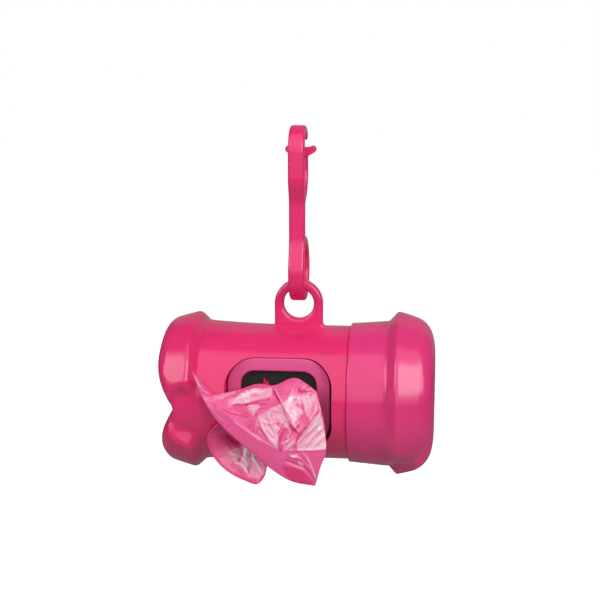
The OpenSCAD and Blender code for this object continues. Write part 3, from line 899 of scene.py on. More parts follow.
class DISPENSER_OT_clip(bpy.types.Operator):
    """Mould the snap clip: its frame with eye, stem and hook, and its sprung gate"""
    bl_idname = "dispenser.clip"
    bl_label = "Snap clip"

    def execute(self, context):
        s = sizes(context.scene.dispenser_clip)
        plastic = moulded_plastic("clip_plastic", context.scene.dispenser_finishes.clip, 0.26)
        seat = Vector((0, -AXIS.y, -AXIS.z))
        mid = s.eye_radius + s.band_thickness / 2
        seat_mid = s.seat_radius + s.band_thickness / 2

        # The stem rises from the eye at a slant and bends upright at the waist
        stem_y, lift, bend, ease = -4.8, 20, 8, 1.5
        turn = math.radians(lift)
        run = (stem_y + mid * math.cos(turn) - bend * (1 - math.cos(turn))) / math.sin(turn)
        stem_z = s.eye_height + (mid + bend) * math.sin(turn) + run * math.cos(turn)

        # The spine steps back over the waist, so that the hook's seat is over the gate
        waist, spine_bend, lean = 9.5, 6, 25
        tilt = math.radians(lean)
        spine_y = seat.y - seat_mid
        spine_run = (stem_y - spine_y - 2 * spine_bend * (1 - math.cos(tilt))) / math.sin(tilt)
        spine_z = stem_z + waist + spine_run * math.cos(tilt) + 2 * spine_bend * math.sin(tilt)
        top_bend = mid + ease
        pivot = (-1.7, stem_z + waist + 1.9)

        # The hook's band ends in a narrower nose, and a boss carries the gate's root
        hook_turn, nose_from, nose_turn, nose_less, boss_end = 140, 132, 46, 0.1, 0.75
        frame_path = [(-stem_y - ease,), (top_bend, 90), (mid, 180 + lift), (run,), (bend, -lift),
                      (waist,), (spine_bend, -lean), (spine_run,), (spine_bend, lean),
                      (seat.z - spine_z,), (seat_mid, hook_turn)]
        start = (stem_y, s.eye_height + top_bend, math.pi / 2)
        body = band("clip_body", s.band_width, s.band_thickness, s.band_edge, start, frame_path)
        nose_start = path_at((spine_y, seat.z, 0), [(seat_mid, nose_from)], math.inf)
        nose = band("nose", s.nose_width, s.band_thickness - nose_less, s.band_edge, nose_start,
                    [(seat_mid, nose_turn)])
        boss = band("boss", s.band_width, s.band_thickness, s.band_edge,
                    (stem_y, pivot[1], math.pi / 2), [(pivot[0] - stem_y - boss_end,)])
        join([body, nose, boss])
        mould(body, s.grain, 10)

        # The gate's arm bends up to a tip under the nose, and its swing is cut free of the frame
        low_bend, high_bend, tip_drop, tooth_rise, bar_depth = 8, 14, 0.9, 1.3, 2.4
        high_turn = math.asin((seat.z - tip_drop - pivot[1] - low_bend) / high_bend)
        tip_y = pivot[0] + low_bend - high_bend * (1 - math.cos(high_turn))
        tip_z = seat.z - tip_drop
        reach = math.hypot(tip_y + bar_depth / 2 - pivot[0], tip_z + tooth_rise - pivot[1])
        root_r, clear, wide, ahead, far = 1.5, 0.1, 20, 4, 40
        carve(body, round_bar("root_cut", root_r + clear, wide, *pivot), "DIFFERENCE")
        sweep_cut = round_bar("sweep_cut", reach + 3 * clear, wide, *pivot)
        square = ((0, 0), (far, 0), (far, far), (0, far))
        corner = solid("corner", [[(x, pivot[0] + ahead + dy, pivot[1] + dz) for dy, dz in square]
                                  for x in (-wide, wide)])
        carve(sweep_cut, corner, "INTERSECT")
        carve(body, sweep_cut, "DIFFERENCE")
        self.finish_piece(body, "clip_body", plastic, "clip", "clip_frame")

        arm = band("gate_arm", s.gate_width, s.gate_thickness, s.band_edge,
                   (*pivot, math.pi / 2), [(low_bend, -90), (high_bend, -math.degrees(high_turn))])
        root = round_bar("root", root_r, s.gate_width, *pivot)
        tooth = self.tooth(s, tip_y, tip_z, reach, pivot)
        join([arm, root, self.cross_bar(s, tip_y, tip_z, bar_depth), tooth])
        mould(arm, s.grain * 0.8, 8)
        self.finish_piece(arm, "gate_arm", plastic, "gate", "clip_gate")
        return {"FINISHED"}

    def tooth(self, s, tip_y, tip_z, reach, pivot):
        """The gate's own nose, which stops short of the hook's."""
        outline = rounded_rect(s.nose_width, s.gate_thickness, s.band_edge, 5)
        foot = [(x, tip_y + dy, tip_z - 1) for x, dy in outline]
        top = [(x, y, pivot[1] + math.sqrt(reach ** 2 - (y - pivot[0]) ** 2)) for x, y, _ in foot]
        return solid("tooth", [foot, top])

    def cross_bar(self, s, tip_y, tip_z, depth):
        """The bar behind the hook, with horns that curve up beside the nose."""
        half, r, dip, foot = s.bar_length / 2, 1.1, 0.6, 1.1
        reach = half - r
        outline = [(reach * math.cos(a), 2 * r - dip * math.sin(a))
                   for a in np.linspace(0, math.pi, 13)]
        outline += arc(r, 120, 240, 4, (-reach, r))
        outline += [(-s.gate_width / 2, -foot), (s.gate_width / 2, -foot)]
        outline += arc(r, -60, 60, 4, (reach, r))
        return solid("cross_bar", [[(x, tip_y + d, tip_z + z) for x, z in outline]
                                   for d in (-depth / 2, depth / 2)])

    def finish_piece(self, piece, name, plastic, body, cad_node):
        """Gives a moulded piece its name, plastic and body, and hides the CAD node that it stands for."""
        piece.name = name
        piece.data.materials.clear()
        piece.data.materials.append(plastic)
        shade(piece, 55)
        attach(piece, body)
        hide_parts(cad_node)


def join(parts):
    """Puts the meshes of several pieces into the first."""
    first = parts[0]
    points, faces = [], []
    for part in parts:
        start = len(points)
        points += [v.co.copy() for v in part.data.vertices]
        faces += [[start + v for v in p.vertices] for p in part.data.polygons]
    mesh = bpy.data.meshes.new(first.name)
    mesh.from_pydata(points, [], faces)
    first.data = mesh
    for part in parts[1:]:
        bpy.data.objects.remove(part)


# First bag


def spline_row(row, t):
    """A point of a smooth curve through a row of points."""
    n = len(row) - 1
    i = min(int(t * n), n - 1)
    f = t * n - i
    near = [row[min(max(i + k, 0), n)] for k in (-1, 0, 1, 2)]
    return [0.5 * (2 * b + (c - a) * f + (2 * a - 5 * b + 4 * c - d) * f * f
                   + (3 * b - a - 3 * c + d) * f ** 3) for a, b, c, d in zip(*near)]


def film_surface(rows, across, down):
    """A grid of points over rows of control points."""
    lines = [[spline_row(row, i / across) for i in range(across + 1)] for row in rows]
    columns = list(zip(*lines))
    return np.array([[spline_row(column, j / down) for column in columns] for j in range(down + 1)])


def beside(x, z, course):
    """Distance of points from a course of (x, z), positive on its left, and how far along it they
    are, from 0 to 1."""
    steps = [math.dist(a, b) for a, b in zip(course, course[1:])]
    best = np.full_like(x, math.inf)
    side = np.zeros_like(x)
    along = np.zeros_like(x)
    done = 0
    for (ax, az), (bx, bz), step in zip(course, course[1:], steps):
        dx, dz = (bx - ax) / step, (bz - az) / step
        run = np.clip((x - ax) * dx + (z - az) * dz, 0, step)
        away = np.hypot(x - ax - run * dx, z - az - run * dz)
        nearer = away < best
        best = np.where(nearer, away, best)
        side = np.where(nearer, (z - az) * dx - (x - ax) * dz, side)
        along = np.where(nearer, (done + run) / sum(steps), along)
        done += step
    return best * np.sign(side), along


def fold(x, z, course, rise, left, right):
    """Height of a sharp fold along a course, which fades at both ends."""
    sharpness, ends = 1.3, 0.12
    away, along = beside(x, z, course)
    reach = np.where(away > 0, left, right)
    tent = np.maximum(0, 1 - np.abs(away) / reach) ** sharpness
    return rise * tent * np.clip(along / ends, 0, 1) * np.clip((1 - along) / ends, 0, 1)


def inside(x, z, outline):
    """Distance of points from a closed outline, positive inside it."""
    away = np.abs(beside(x, z, outline + outline[:1])[0])
    within = np.zeros(x.shape, bool)
    for (ax, az), (bx, bz) in zip(outline, outline[1:] + outline[:1]):
        if az != bz:
            within ^= ((az > z) != (bz > z)) & (x < ax + (z - az) * (bx - ax) / (bz - az))
    return np.where(within, away, -away)


def wrinkles(x, z, count, seed, centre, reach, lean=None):
    """Fine straight wrinkles about a centre, some up and some down, that run outwards or lean one way."""
    rng = random.Random(seed)
    height = np.zeros_like(x)
    for _ in range(count):
        spoke = rng.uniform(0, 2 * math.pi)
        out = reach * rng.uniform(0.05, 0.9)
        cx = centre[0] + out * math.cos(spoke) + rng.gauss(0, 0.5)
        cz = centre[1] + out * math.sin(spoke) + rng.gauss(0, 0.5)
        heading = spoke if lean is None else rng.gauss(lean, 0.3)
        long = rng.uniform(1.2, 4.5)
        du, dv = math.cos(heading), math.sin(heading)
        along = (x - cx) * du + (z - cz) * dv
        across = (z - cz) * du - (x - cx) * dv
        tent = np.maximum(0, 1 - np.abs(across) / rng.uniform(0.16, 0.5))
        fade = np.clip(1 - (2 * along / long - 1) ** 2, 0, 1)
        height += rng.choice((-1, 1)) * tent * fade
    return height


def facet_tint(x, z, facets):
    """Depth of colour that pale facets, whitened film with painted highlight, and deep facets of painted
    shade give to points.
    """
    return sum(amount * np.clip(inside(x, z, outline) / softness + 0.5, 0, 1)
               for amount, softness, outline in facets)


def glint_and_shade_tint(x, z, ridges):
    """Depth of colour that painted glints along ridges and painted shade in valleys give to points."""
    return sum(amount * fold(x, z, course, 1, 1.6 * half, 1.6 * half)
               for amount, half, course in ridges)


def downward(grid):
    """How far down its grid each point is, from 0 to 1."""
    rows, columns, _ = grid.shape
    return np.linspace(0, 1, rows)[:, None] * np.ones((1, columns))


def grid_normals(grid):
    """Directions square to a grid at its points, towards the front."""
    du = np.gradient(grid, axis=1)
    dv = np.gradient(grid, axis=0)
    normal = np.cross(dv, du)
    size = np.linalg.norm(normal, axis=2, keepdims=True)
    return normal / np.maximum(size, 1e-9)


def film_grid_piece(name, grid, tint, film, thickness):
    """A piece from a grid, with its pale and deep places (whitened film, painted highlight and painted
    shade) as an attribute and the film's thickness.
    """
    rows, columns, _ = grid.shape
    points = grid.reshape(-1, 3).tolist()
    faces = []
    for j in range(rows - 1):
        for i in range(columns - 1):
            a = j * columns + i
            faces.append((a, a + 1, a + columns + 1, a + columns))
    piece = new_piece(name, points, faces)
    mesh = piece.data
    mesh.materials.append(film)
    # Painted shade and painted highlight, with whitened film, kept per point
    layer = mesh.attributes.new("crease", "FLOAT", "POINT")
    layer.data.foreach_set("value", np.clip(tint, DEEPEST, PALEST).reshape(-1).astype(np.float32))
    body = piece.modifiers.new("film", "SOLIDIFY")
    body.thickness = thickness * MM
    body.offset = 0
    apply_modifiers(piece)
    piece.data.shade_smooth()
    return piece


# The front sheet from the roll through the slit, up behind its top fold and down its front to
# the folded lower edge, from the left spike to the right
FRONT = [
    [(-12.2, -11.6, 0.9), (-9.5, -11.6, 0.8), (-7, -11.6, 1), (-4.4, -11.6, 0.9), (-1.8, -11.6, 0.8),
     (0.8, -11.6, 1), (3.4, -11.6, 0.9)],
    [(-12.2, -13.1, 0.9), (-9.5, -13.1, 1.1), (-7, -13.1, 0.7), (-4.4, -13.1, 1), (-1.8, -13.1, 0.8),
     (0.8, -13.1, 1.1), (3.4, -13.1, 0.9)],
    [(-13, -15.6, 1.2), (-10, -15.6, 1.6), (-7.2, -15.7, 1.2), (-4.4, -15.6, 1.5), (-1.6, -15.7, 1.3),
     (1.2, -15.6, 1.6), (4, -15.6, 1.2)],
    [(-22, -21, 3.8), (-19.6, -19.8, 2.6), (-14, -17.6, 3.2), (-9.2, -16.8, 4.6), (-4.2, -16.6, 4.4),
     (0.6, -16.6, 5.6), (5.4, -17, 3.4)],
    [(-28, -22.8, 10.4), (-24.2, -21.8, 4), (-17, -19.8, 4.2), (-10.2, -18.8, 6.2), (-5.2, -18.6, 5.9),
     (1, -18.4, 8.2), (6.9, -19, 4.8)],
    [(-27.6, -22.8, 9.2), (-23.8, -22.8, 2.8), (-16, -23, 1.8), (-9, -23, 2.6), (-3.6, -22.8, 2.4),
     (3, -22.2, 3), (8.8, -20.6, -1)],
    [(-26.8, -22.9, 6.9), (-23.4, -23.6, 1.3), (-15.6, -24.4, -1.6), (-8.6, -24.8, -3), (-2.6, -24.8, -4.2),
     (4, -23.8, -5), (9.9, -21.5, -6.4)],
    [(-26.6, -23, 6), (-22.7, -24, 0.1), (-16.2, -25, -4.1), (-9.6, -25.6, -7.6), (-3.2, -25.6, -10.2),
     (3.4, -24.8, -11.8), (10.2, -22.6, -12.2)],
    [(-26.4, -23, 5.2), (-22.5, -24.2, -0.7), (-16.8, -25.2, -5.3), (-10.4, -25.8, -9.6),
     (-4.4, -25.8, -13.2), (1.6, -25.2, -15.8), (8.8, -23.4, -16.4)],
    [(-26.2, -23, 4.6), (-22.4, -24, -1.5), (-17.4, -25, -6.7), (-11.2, -25.4, -11.6), (-6.2, -25.2, -16.2),
     (0.3, -25, -20.3), (7.3, -24, -21.8)],
    [(-26, -22.4, 5), (-22.2, -22.8, 0), (-16.4, -23.4, -4.8), (-9.8, -23.8, -9.8), (-5.6, -23.6, -13.8),
     (0.8, -23.4, -17.8), (7.2, -22.6, -19.8)],
]

# A small tip of film that stands up before the membrane, behind the top fold, in the deepest tint as
# painted shade
TIP = [
    [(-9, -16, 4.4), (-8.2, -16.6, 4.6), (-7.4, -16, 4.6), (-6.2, -16.4, 4.4)],
    [(-8.8, -16, 6), (-8.2, -16.8, 6.3), (-7.6, -16, 6.1), (-6.8, -16.2, 5.6)],
    [(-8.5, -16, 7.2), (-8.3, -16.9, 7.9), (-8, -16, 6.7), (-7.3, -16, 6.5)],
]

# Height of the highest of the FOLDS
HIGHEST_FOLD = 0.9

# Folds of the front sheet as seen from the front: height, reach to the left and to the right of
# its course, and the course in (x, z)
FOLDS = [
    (0.9, 3, 0.6, [(-5.1, 5.5), (-2.3, 1.8), (-0.5, -2.6), (2.7, -6.2)]),
    (0.5, 0.6, 2.5, [(-10.5, -1.1), (-8, -0.2), (-2.1, 1.8)]),
    (0.5, 2.2, 0.5, [(-16.7, 1.4), (-12.7, 1.6), (-9.3, 2.7), (-3.3, 3.5)]),
    (0.6, 2.2, 0.5, [(-8.8, -1.8), (-7.3, -5.7), (-5.5, -8.2), (-3.2, -10.2)]),
    (0.3, 0.8, 0.5, [(-9.3, -2.4), (-10, -6.6)]),
    (0.45, 1.2, 0.5, [(-1, -4), (-2.4, -5.3), (-3, -8.2), (-2.4, -11.6)]),
    (0.55, 0.6, 2.4, [(2.7, -6.5), (5.7, -3), (8.3, -0.6)]),
    (0.4, 0.6, 1, [(2.9, -6.5), (0.2, -8.5), (-1.8, -10.2)]),
    (0.35, 0.5, 0.9, [(2.7, -7.1), (1, -9.6), (-0.9, -11.1)]),
    (0.4, 0.6, 1.4, [(3.8, -5.7), (5.3, -1.4), (6, 3.1)]),
    (-0.5, 0.6, 0.8, [(1.6, 3.4), (1.9, 1.8), (3.9, -0.1)]),
    (0.4, 0.5, 1, [(2.7, 4.2), (4.5, 4.7), (6.2, 4.1), (7.7, 1.6), (9.8, -6)]),
    (-0.35, 0.8, 0.5, [(-12.9, 1.3), (-10.5, -1.3)]),
    (-0.35, 0.8, 0.5, [(-10.5, -1.3), (-8.3, 1.4)]),
    (0.5, 0.5, 1.2, [(3.6, -11.7), (5.5, -14.8), (7.5, -20.1)]),
    (0.3, 0.9, 0.3, [(-1.8, -11.2), (3, -11.4), (10.5, -11.6)]),
    (0.25, 0.4, 0.8, [(-23.4, 3.5), (-20, 4), (-14.9, 4.8)]),
    (0.25, 0.8, 0.4, [(-23.8, 3.1), (-17.4, 2.4), (-12.9, 1.3)]),
    (0.3, 0.9, 0.4, [(-22.5, 1.2), (-16.6, -1), (-10.8, -1.9)]),
    (0.4, 0.35, 2, [(-23.7, 2.3), (-19.5, -0.6), (-14.2, -4.2), (-7.8, -8.6), (-2.4, -11.1)]),
    (0.3, 0.5, 1, [(1.6, -10.6), (4.6, -7), (8.4, -3.4)]),
    (0.25, 0.5, 0.8, [(3.8, -10.8), (6.4, -7.6), (9.2, -5)]),
    (0.2, 0.5, 0.6, [(6.4, -11), (8.2, -8.8), (9.8, -7.4)]),
    (0.2, 0.5, 0.5, [(-6.2, -0.4), (-5, -3.7), (-2.4, -7.3)]),
    (0.2, 0.5, 0.5, [(-1.6, -3.7), (-3.9, -3.3), (-6.4, -3.7)]),
    (0.35, 0.6, 0.6, [(-0.7, -12.5), (3, -13.7), (6.4, -17.8)]),
    (-0.4, 0.6, 0.9, [(-1.5, -14), (4.4, -16.5), (7, -20.1)]),
    (0.25, 0.5, 0.5, [(0.6, 7.6), (0.3, 4.9), (-1, 3.4)]),
    (0.3, 0.4, 0.4, [(3.1, 5.2), (5, 6.9)]),
    (0.3, 0.4, 0.4, [(3.4, 4.9), (6.1, 5.7)]),
    (-0.7, 0.9, 0.6, [(2, 5.9), (3.4, 5.4), (5.3, 5)]),
]

# The upper edge of the doubled hem
HEM = [(-23.7, 2.3), (-19.5, -0.6), (-14.2, -4.2), (-7.8, -8.6), (-2.4, -11.1), (3, -11.4), (10.5, -11.6)]

# Facets between the folds: how pale (whitened film with painted highlight) or, under nought, how deep in
# colour (painted shade) the film is there, the softness of the border, and the outline in (x, z)
FACETS = [
    (0.7, 0.3, [(-17, 1.4), (-15.5, 3.1), (-14.5, 4.1), (-12, 5.1), (-8.5, 5.5), (-5.7, 5.5), (-5.3, 3.5),
        (-8.1, 3), (-10.1, 2.4), (-12.7, 1.6)]),
    (0.3, 0.5, [(-17, 1.4), (-15.5, 3.1), (-13.9, 3.9), (-12, 3.6), (-11.3, 2.6), (-12.7, 1.6)]),
    (0.9, 0.15, [(-12.8, 1.2), (-8.3, 1.6), (-9.4, 0.3), (-10.5, -1.3)]),
    (0.75, 0.3, [(-9.4, -1.6), (-6.3, 0), (-4, 1.1), (-2.1, 1.8), (-0.8, -0.9), (0.1, -3.7), (-1, -4.2),
        (-2.2, -3.9), (-3, -5.6), (-3.2, -8.2), (-3.2, -10.5), (-5.5, -8.5), (-7.3, -6)]),
    (0.95, 0.2, [(-1.8, 1.8), (-0.2, 3.7), (2.4, 4), (3, 1.8), (3.7, -0.1), (2, -2.6), (1.1, -3.4)]),
    (0.6, 0.3, [(3, 3.6), (4.3, 4.1), (6.2, 3.6), (7.7, 0.3), (7.2, -1), (5.4, -2.7), (4.2, -0.4)]),
    (0.95, 0.2, [(3.5, -6.6), (5.9, -3.4), (8.1, -1.1), (8.9, -3.1), (9.9, -7.6), (10.5, -11.4),
        (6.6, -11.3), (2.4, -11.2), (1.9, -9.4)]),
    (0.55, 0.3, [(2.4, -6.5), (-0.7, -8.2), (-1.8, -9.9), (-1.5, -11.3), (0.5, -11.3), (1.6, -9.3)]),
    (0.8, 0.2, [(0.2, -12.8), (2.2, -12.1), (2.5, -12.8), (1, -13.4)]),
    (0.8, 0.2, [(2.5, -14.3), (3.8, -15), (4.1, -15.9), (2.7, -15.5)]),
    (0.4, 0.4, [(-22.5, 3.2), (-20, 4.1), (-17.2, 4.5), (-14.9, 4.5), (-17.1, 3.7), (-19.8, 2.5),
        (-21.8, 2.5)]),
    (0.4, 0.4, [(-17.8, 2.8), (-15.8, 2.9), (-16.5, 1.4), (-17.8, -0.2)]),
    (-0.9, 0.15, [(-5.4, 5.3), (-4.4, 4.6), (-2.7, 2.6), (-2.1, 1.5), (-2.9, 2.3), (-4.5, 3.3)]),
    (-0.35, 0.4, [(-16.7, 1.3), (-12.9, 1.2), (-10.8, -1.3), (-12.5, -1.8), (-14.9, -0.9)]),
    (-0.7, 0.3, [(1.9, 6.2), (3.7, 5.4), (5.3, 5), (4, 4.1), (2.1, 4.5)]),
    (-0.35, 0.3, [(-0.2, -4.5), (2.9, -6.2), (2.7, -7.4), (-0.4, -6.8)]),
    (-0.7, 0.5, [(-2.4, -15.5), (3, -16.7), (6.4, -19.5), (6.9, -21.9), (3, -21.9), (-1, -18.8)]),
    (-0.25, 0.5, [(-12.8, -3.1), (-9.9, -2.1), (-9.3, -6), (-11.3, -6.1)]),
    (-0.3, 0.5, [(-12.1, 1.6), (-8.1, 2.7), (-3, 3), (-2.4, 2), (-6.8, 0.4), (-9.7, -0.5), (-8.3, 1.4)]),
]

# Painted glints along ridges and painted shade in valleys: how pale or deep, half width, and the course in
# (x, z)
PAINTED_GLINTS_AND_SHADE = [
    (-1, 0.28, [(-2.7, 2.3), (-0.5, -2), (0.5, -4.8), (2.7, -6.4)]),
    (1, 0.22, [(-4.9, 5.5), (-2.1, 1.8)]),
    (0.8, 0.25, [(0.6, -3.1), (2.9, -6)]),
    (0.9, 0.3, [(-8.8, -2.1), (-7.3, -6), (-5.5, -8.5), (-3.2, -10.3)]),
    (0.6, 0.25, [(-9.3, -2.4), (-9.6, -4.6), (-10, -6.6)]),
    (0.9, 0.25, [(2.7, 4.2), (4.5, 4.7), (6.2, 4.1), (7.7, 1.6), (8.9, -1.5)]),
    (0.7, 0.2, [(1.2, 8.2), (4.4, 7.1), (5.8, 5.7)]),
    (0.6, 0.2, [(3.3, 5.9), (5, 6.9)]),
    (0.7, 0.2, [(4.2, 5.3), (6.1, 5.7)]),
    (0.5, 0.25, [(0, 5.3), (0.9, 5.2), (-0.7, 3.4)]),
    (0.9, 0.25, [(4.4, -12.3), (5.8, -15.1), (7.5, -19.8)]),
    (-0.8, 0.3, [(1, 3.7), (1.6, 1.8), (3.9, -0.1)]),
    (-0.7, 0.3, [(3.2, -6.3), (5.7, -3), (8, -0.6)]),
    (-0.6, 0.3, [(3.8, -5.4), (5.3, -1.6)]),
    (-0.6, 0.35, [(-1.9, -4.8), (-2.7, -7.6), (-2.4, -11.6)]),
    (-0.6, 0.25, [(2.7, -6.8), (0.2, -8.2), (-1.2, -9.9)]),
    (-0.5, 0.25, [(2.4, -7.4), (1, -9.6), (-0.7, -11.1)]),
    (-0.5, 0.25, [(-1.3, -3.7), (-3.9, -3.4), (-6.2, -3.7)]),
    (-0.4, 0.25, [(-5.7, -0.4), (-4.7, -3.7), (-2.4, -7.3)]),
    (-0.6, 0.3, [(1.2, -10.8), (4.4, -7.4), (8, -3.9)]),
    (-0.5, 0.25, [(4.2, -11), (6.6, -8), (9.3, -5.5)]),
    (0.5, 0.3, [(-16.5, -2.9), (-12.4, -5.6), (-7.8, -8.6)]),
    (1.4, 0.3, [(-27.6, 9.4), (-26.4, 6.8), (-24.6, 4.7)]),
    (1, 0.2, [(3.4, -6.3), (6, -3.2), (7.6, -1.7)]),
    (0.9, 0.2, [(-6.4, -0.6), (-5.2, -3.6), (-3.6, -6.4)]),
    (0.9, 0.2, [(-1.6, 0.9), (0.4, -1.2), (1.6, -2.4)]),
    (0.9, 0.25, [(0.2, -8), (-1.6, -8.8), (-3, -9.6)]),
    (0.8, 0.25, [(-0.8, -7.6), (0.4, -6.4), (-0.6, -5.4)]),
    (0.9, 0.25, [(-14.6, 3.4), (-11, 4.6), (-7.4, 4.9)]),
]

# Fine wrinkles: how many, their seed, the middle and radius of their patch, and their direction
# in radians where they don't run outwards
WRINKLES = [
    (60, 11, (6.6, -6.4), 6.5, 0.9),
    (26, 12, (5, 1), 4.5, 1.35),
    (46, 13, (-0.6, -8.6), 4.5, 0.9),
    (50, 14, (-4, -3), 5.5, -0.8),
    (34, 15, (-9.2, -1.6), 6.5, None),
    (30, 16, (-11, 3.4), 5.5, 0.3),
    (30, 17, (-17, 1.6), 7.5, 0.35),
    (30, 18, (0.6, 1), 4, 1),
    (30, 19, (-9, -6), 5, -0.75),
]

# The mouth of the looser layer behind, from where it leaves the front sheet at the left, round
# below, to where it goes behind the front sheet again
MOUTH = [(-18.6, -21.4, -3.6), (-21.4, -21.8, -5.4), (-24, -22, -8.8), (-23.6, -22, -12.4),
         (-21.3, -21.8, -16.4), (-17.6, -21.6, -19.7), (-13.4, -21.6, -21.7), (-10, -21.6, -22.6),
         (-7.8, -21.8, -20.2), (-7, -22.4, -17)]

# Where the looser layer ends inside, behind the front sheet
THROAT = (-11.5, -17.5, -7.5)

# Pale facets inside the looser layer, whitened film with painted highlight, like FACETS
CURL = [
    (1.1, 0.8, [(-18.6, -13.9), (-16.2, -12.9), (-14.2, -12.5), (-11.5, -14.5), (-8.6, -16.6),
        (-7.2, -18.3), (-7.8, -20.2), (-9.8, -21.1), (-12.5, -20.9), (-14.2, -19.2), (-16.9, -17.1)]),
    (0.5, 0.4, [(-14.2, -13.7), (-12.7, -13.7), (-10.4, -16), (-12.2, -18.5), (-13.9, -16.7)]),
    (0.4, 0.4, [(-13.4, -21), (-9.2, -20.8), (-7.5, -18.3), (-6.9, -20.1), (-8.7, -22.3)]),
]

# Ridges and valleys inside the looser layer, raised as folds and tinted like the front sheet's: painted
# glints on ridges, painted shade in valleys
CRUMPLES = [
    (1.3, 0.3, [(-14.6, -11.2), (-12.8, -13.2), (-10.6, -14.6)]),
    (0.9, 0.3, [(-13.2, -12.6), (-14, -15.4), (-13.2, -18.2)]),
    (0.9, 0.25, [(-17.8, -14.6), (-15.2, -15.4), (-13.4, -17)]),
    (1.1, 0.3, [(-12.4, -15.6), (-10.2, -17.4), (-8.6, -20)]),
    (0.8, 0.25, [(-16.4, -16.8), (-14.6, -17.6), (-12.6, -20)]),
    (-0.9, 0.35, [(-15.8, -12), (-14.6, -14.2), (-15.6, -17.4)]),
    (-0.8, 0.35, [(-12.6, -14.2), (-11.8, -17.2), (-12.6, -20.2)]),
    (-0.8, 0.3, [(-10.8, -15.4), (-9.2, -17), (-8, -19)]),
    (-0.9, 0.6, [(-19.2, -9), (-17, -11.4), (-15, -11.4)]),
]

# Fine wrinkles inside the looser layer, like WRINKLES
CURL_WRINKLES = [(60, 21, (-13, -16), 7), (50, 22, (-13, -16), 6, 1.9)]

# Rings of the looser layer, from its throat inside over its mouth at 1 to its end behind: how far
# each lies from the throat to the mouth, and how far back
LEVELS = [(0.12, 1.2), (0.4, 1.9), (0.7, 1.2), (0.93, 0.5), (1, 0), (1.015, 0.7), (0.96, 1.5),
          (0.75, 3), (0.45, 3.8), (0.2, 3)]


class DISPENSER_OT_bag(bpy.types.Operator):
    """Drape the crumpled film of the first bag through the slit"""
    bl_idname = "dispenser.bag"
    bl_label = "First bag"

    def execute(self, context):
        s = sizes(context.scene.dispenser_bags)
        finish = context.scene.dispenser_finishes
        film = bag_film("first_bag_film", finish.deep_film, finish.film, finish.pale_film)
        front = self.front_sheet(s, film)
        rear = self.rear_layer(s, film)
        tip = film_surface(TIP, 36, 30)
        # The tip is painted all in shade
        tip = film_grid_piece("film_tip", tip, -np.ones(tip.shape[:2]), film, s.film)
        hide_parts("lead_bag", "bag_neck")
        for piece in (front, rear, tip):
            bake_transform(piece)
        return {"FINISHED"}

    def front_sheet(self, s, film):
        """The sheet that comes out of the slit, over its top fold and down to its doubled hem."""
        grid = film_surface(FRONT, 230, 210)
        t = downward(grid)
        x, z = grid[:, :, 0], grid[:, :, 2]

        # Relief and tints show from the top fold to the lower edge, and the doubled hem is smoother
        shown = np.clip((t - 0.38) / 0.05, 0, 1) * np.clip((0.93 - t) / 0.03, 0, 1)
        hem = fold(x, z, HEM, 1, 0.4, 30) > 0.02
        streaks = sum(wrinkles(x, z, *patch) for patch in WRINKLES) * ~hem
        wrinkle_height, wrinkle_tint = 0.13, 0.32
        folds = sum(fold(x, z, course, rise, left, right) for rise, left, right, course in FOLDS)
        height = (folds + wrinkle_height * streaks) * s.crumple / HIGHEST_FOLD
        # The tint is painted highlight and painted shade: pale facets and glints, deep facets and valleys,
        # and both sides of each wrinkle
        tint = facet_tint(x, z, FACETS) + wrinkle_tint * streaks + glint_and_shade_tint(x, z, PAINTED_GLINTS_AND_SHADE)
        grid = grid + grid_normals(grid) * (height * shown)[:, :, None]
        return film_grid_piece("front_film", grid, tint * shown, film, s.film)

    def rear_layer(self, s, film):
        """The looser layer behind, open towards the front like a shallow cup."""
        across, down = 150, 110
        mouth = np.array([spline_row(MOUTH, i / across) for i in range(across + 1)])
        rows = [mix(np.array(THROAT), mouth, scale) + (0, back, 0) for scale, back in LEVELS]
        grid = film_surface(rows, across, down)
        inner = np.clip((0.42 - downward(grid)) / 0.1, 0, 1)
        x, z = grid[:, :, 0], grid[:, :, 2]
        streaks = sum(wrinkles(x, z, *patch) for patch in CURL_WRINKLES)
        wrinkle_height, wrinkle_tint, fold_height = 0.1, 0.3, 0.4
        # Painted shade over the layer inside and out, and painted glints and shade in its crumples
        shade_inside, shade_outside = -0.45, -0.5
        tint = facet_tint(x, z, CURL) + shade_inside
        tint += wrinkle_tint * streaks * (tint > 0) + glint_and_shade_tint(x, z, CRUMPLES)
        folds = sum(amount * fold(x, z, course, 1, 3 * half, 3 * half)
                    for amount, half, course in CRUMPLES)
        height = wrinkle_height * streaks + fold_height * folds
        grid = grid + grid_normals(grid) * (height * inner)[:, :, None]
        return film_grid_piece("rear_film", grid, mix(shade_outside, tint, inner), film, s.film)


# Stage

# Strength of the plain light from all round
FILL = 0.12


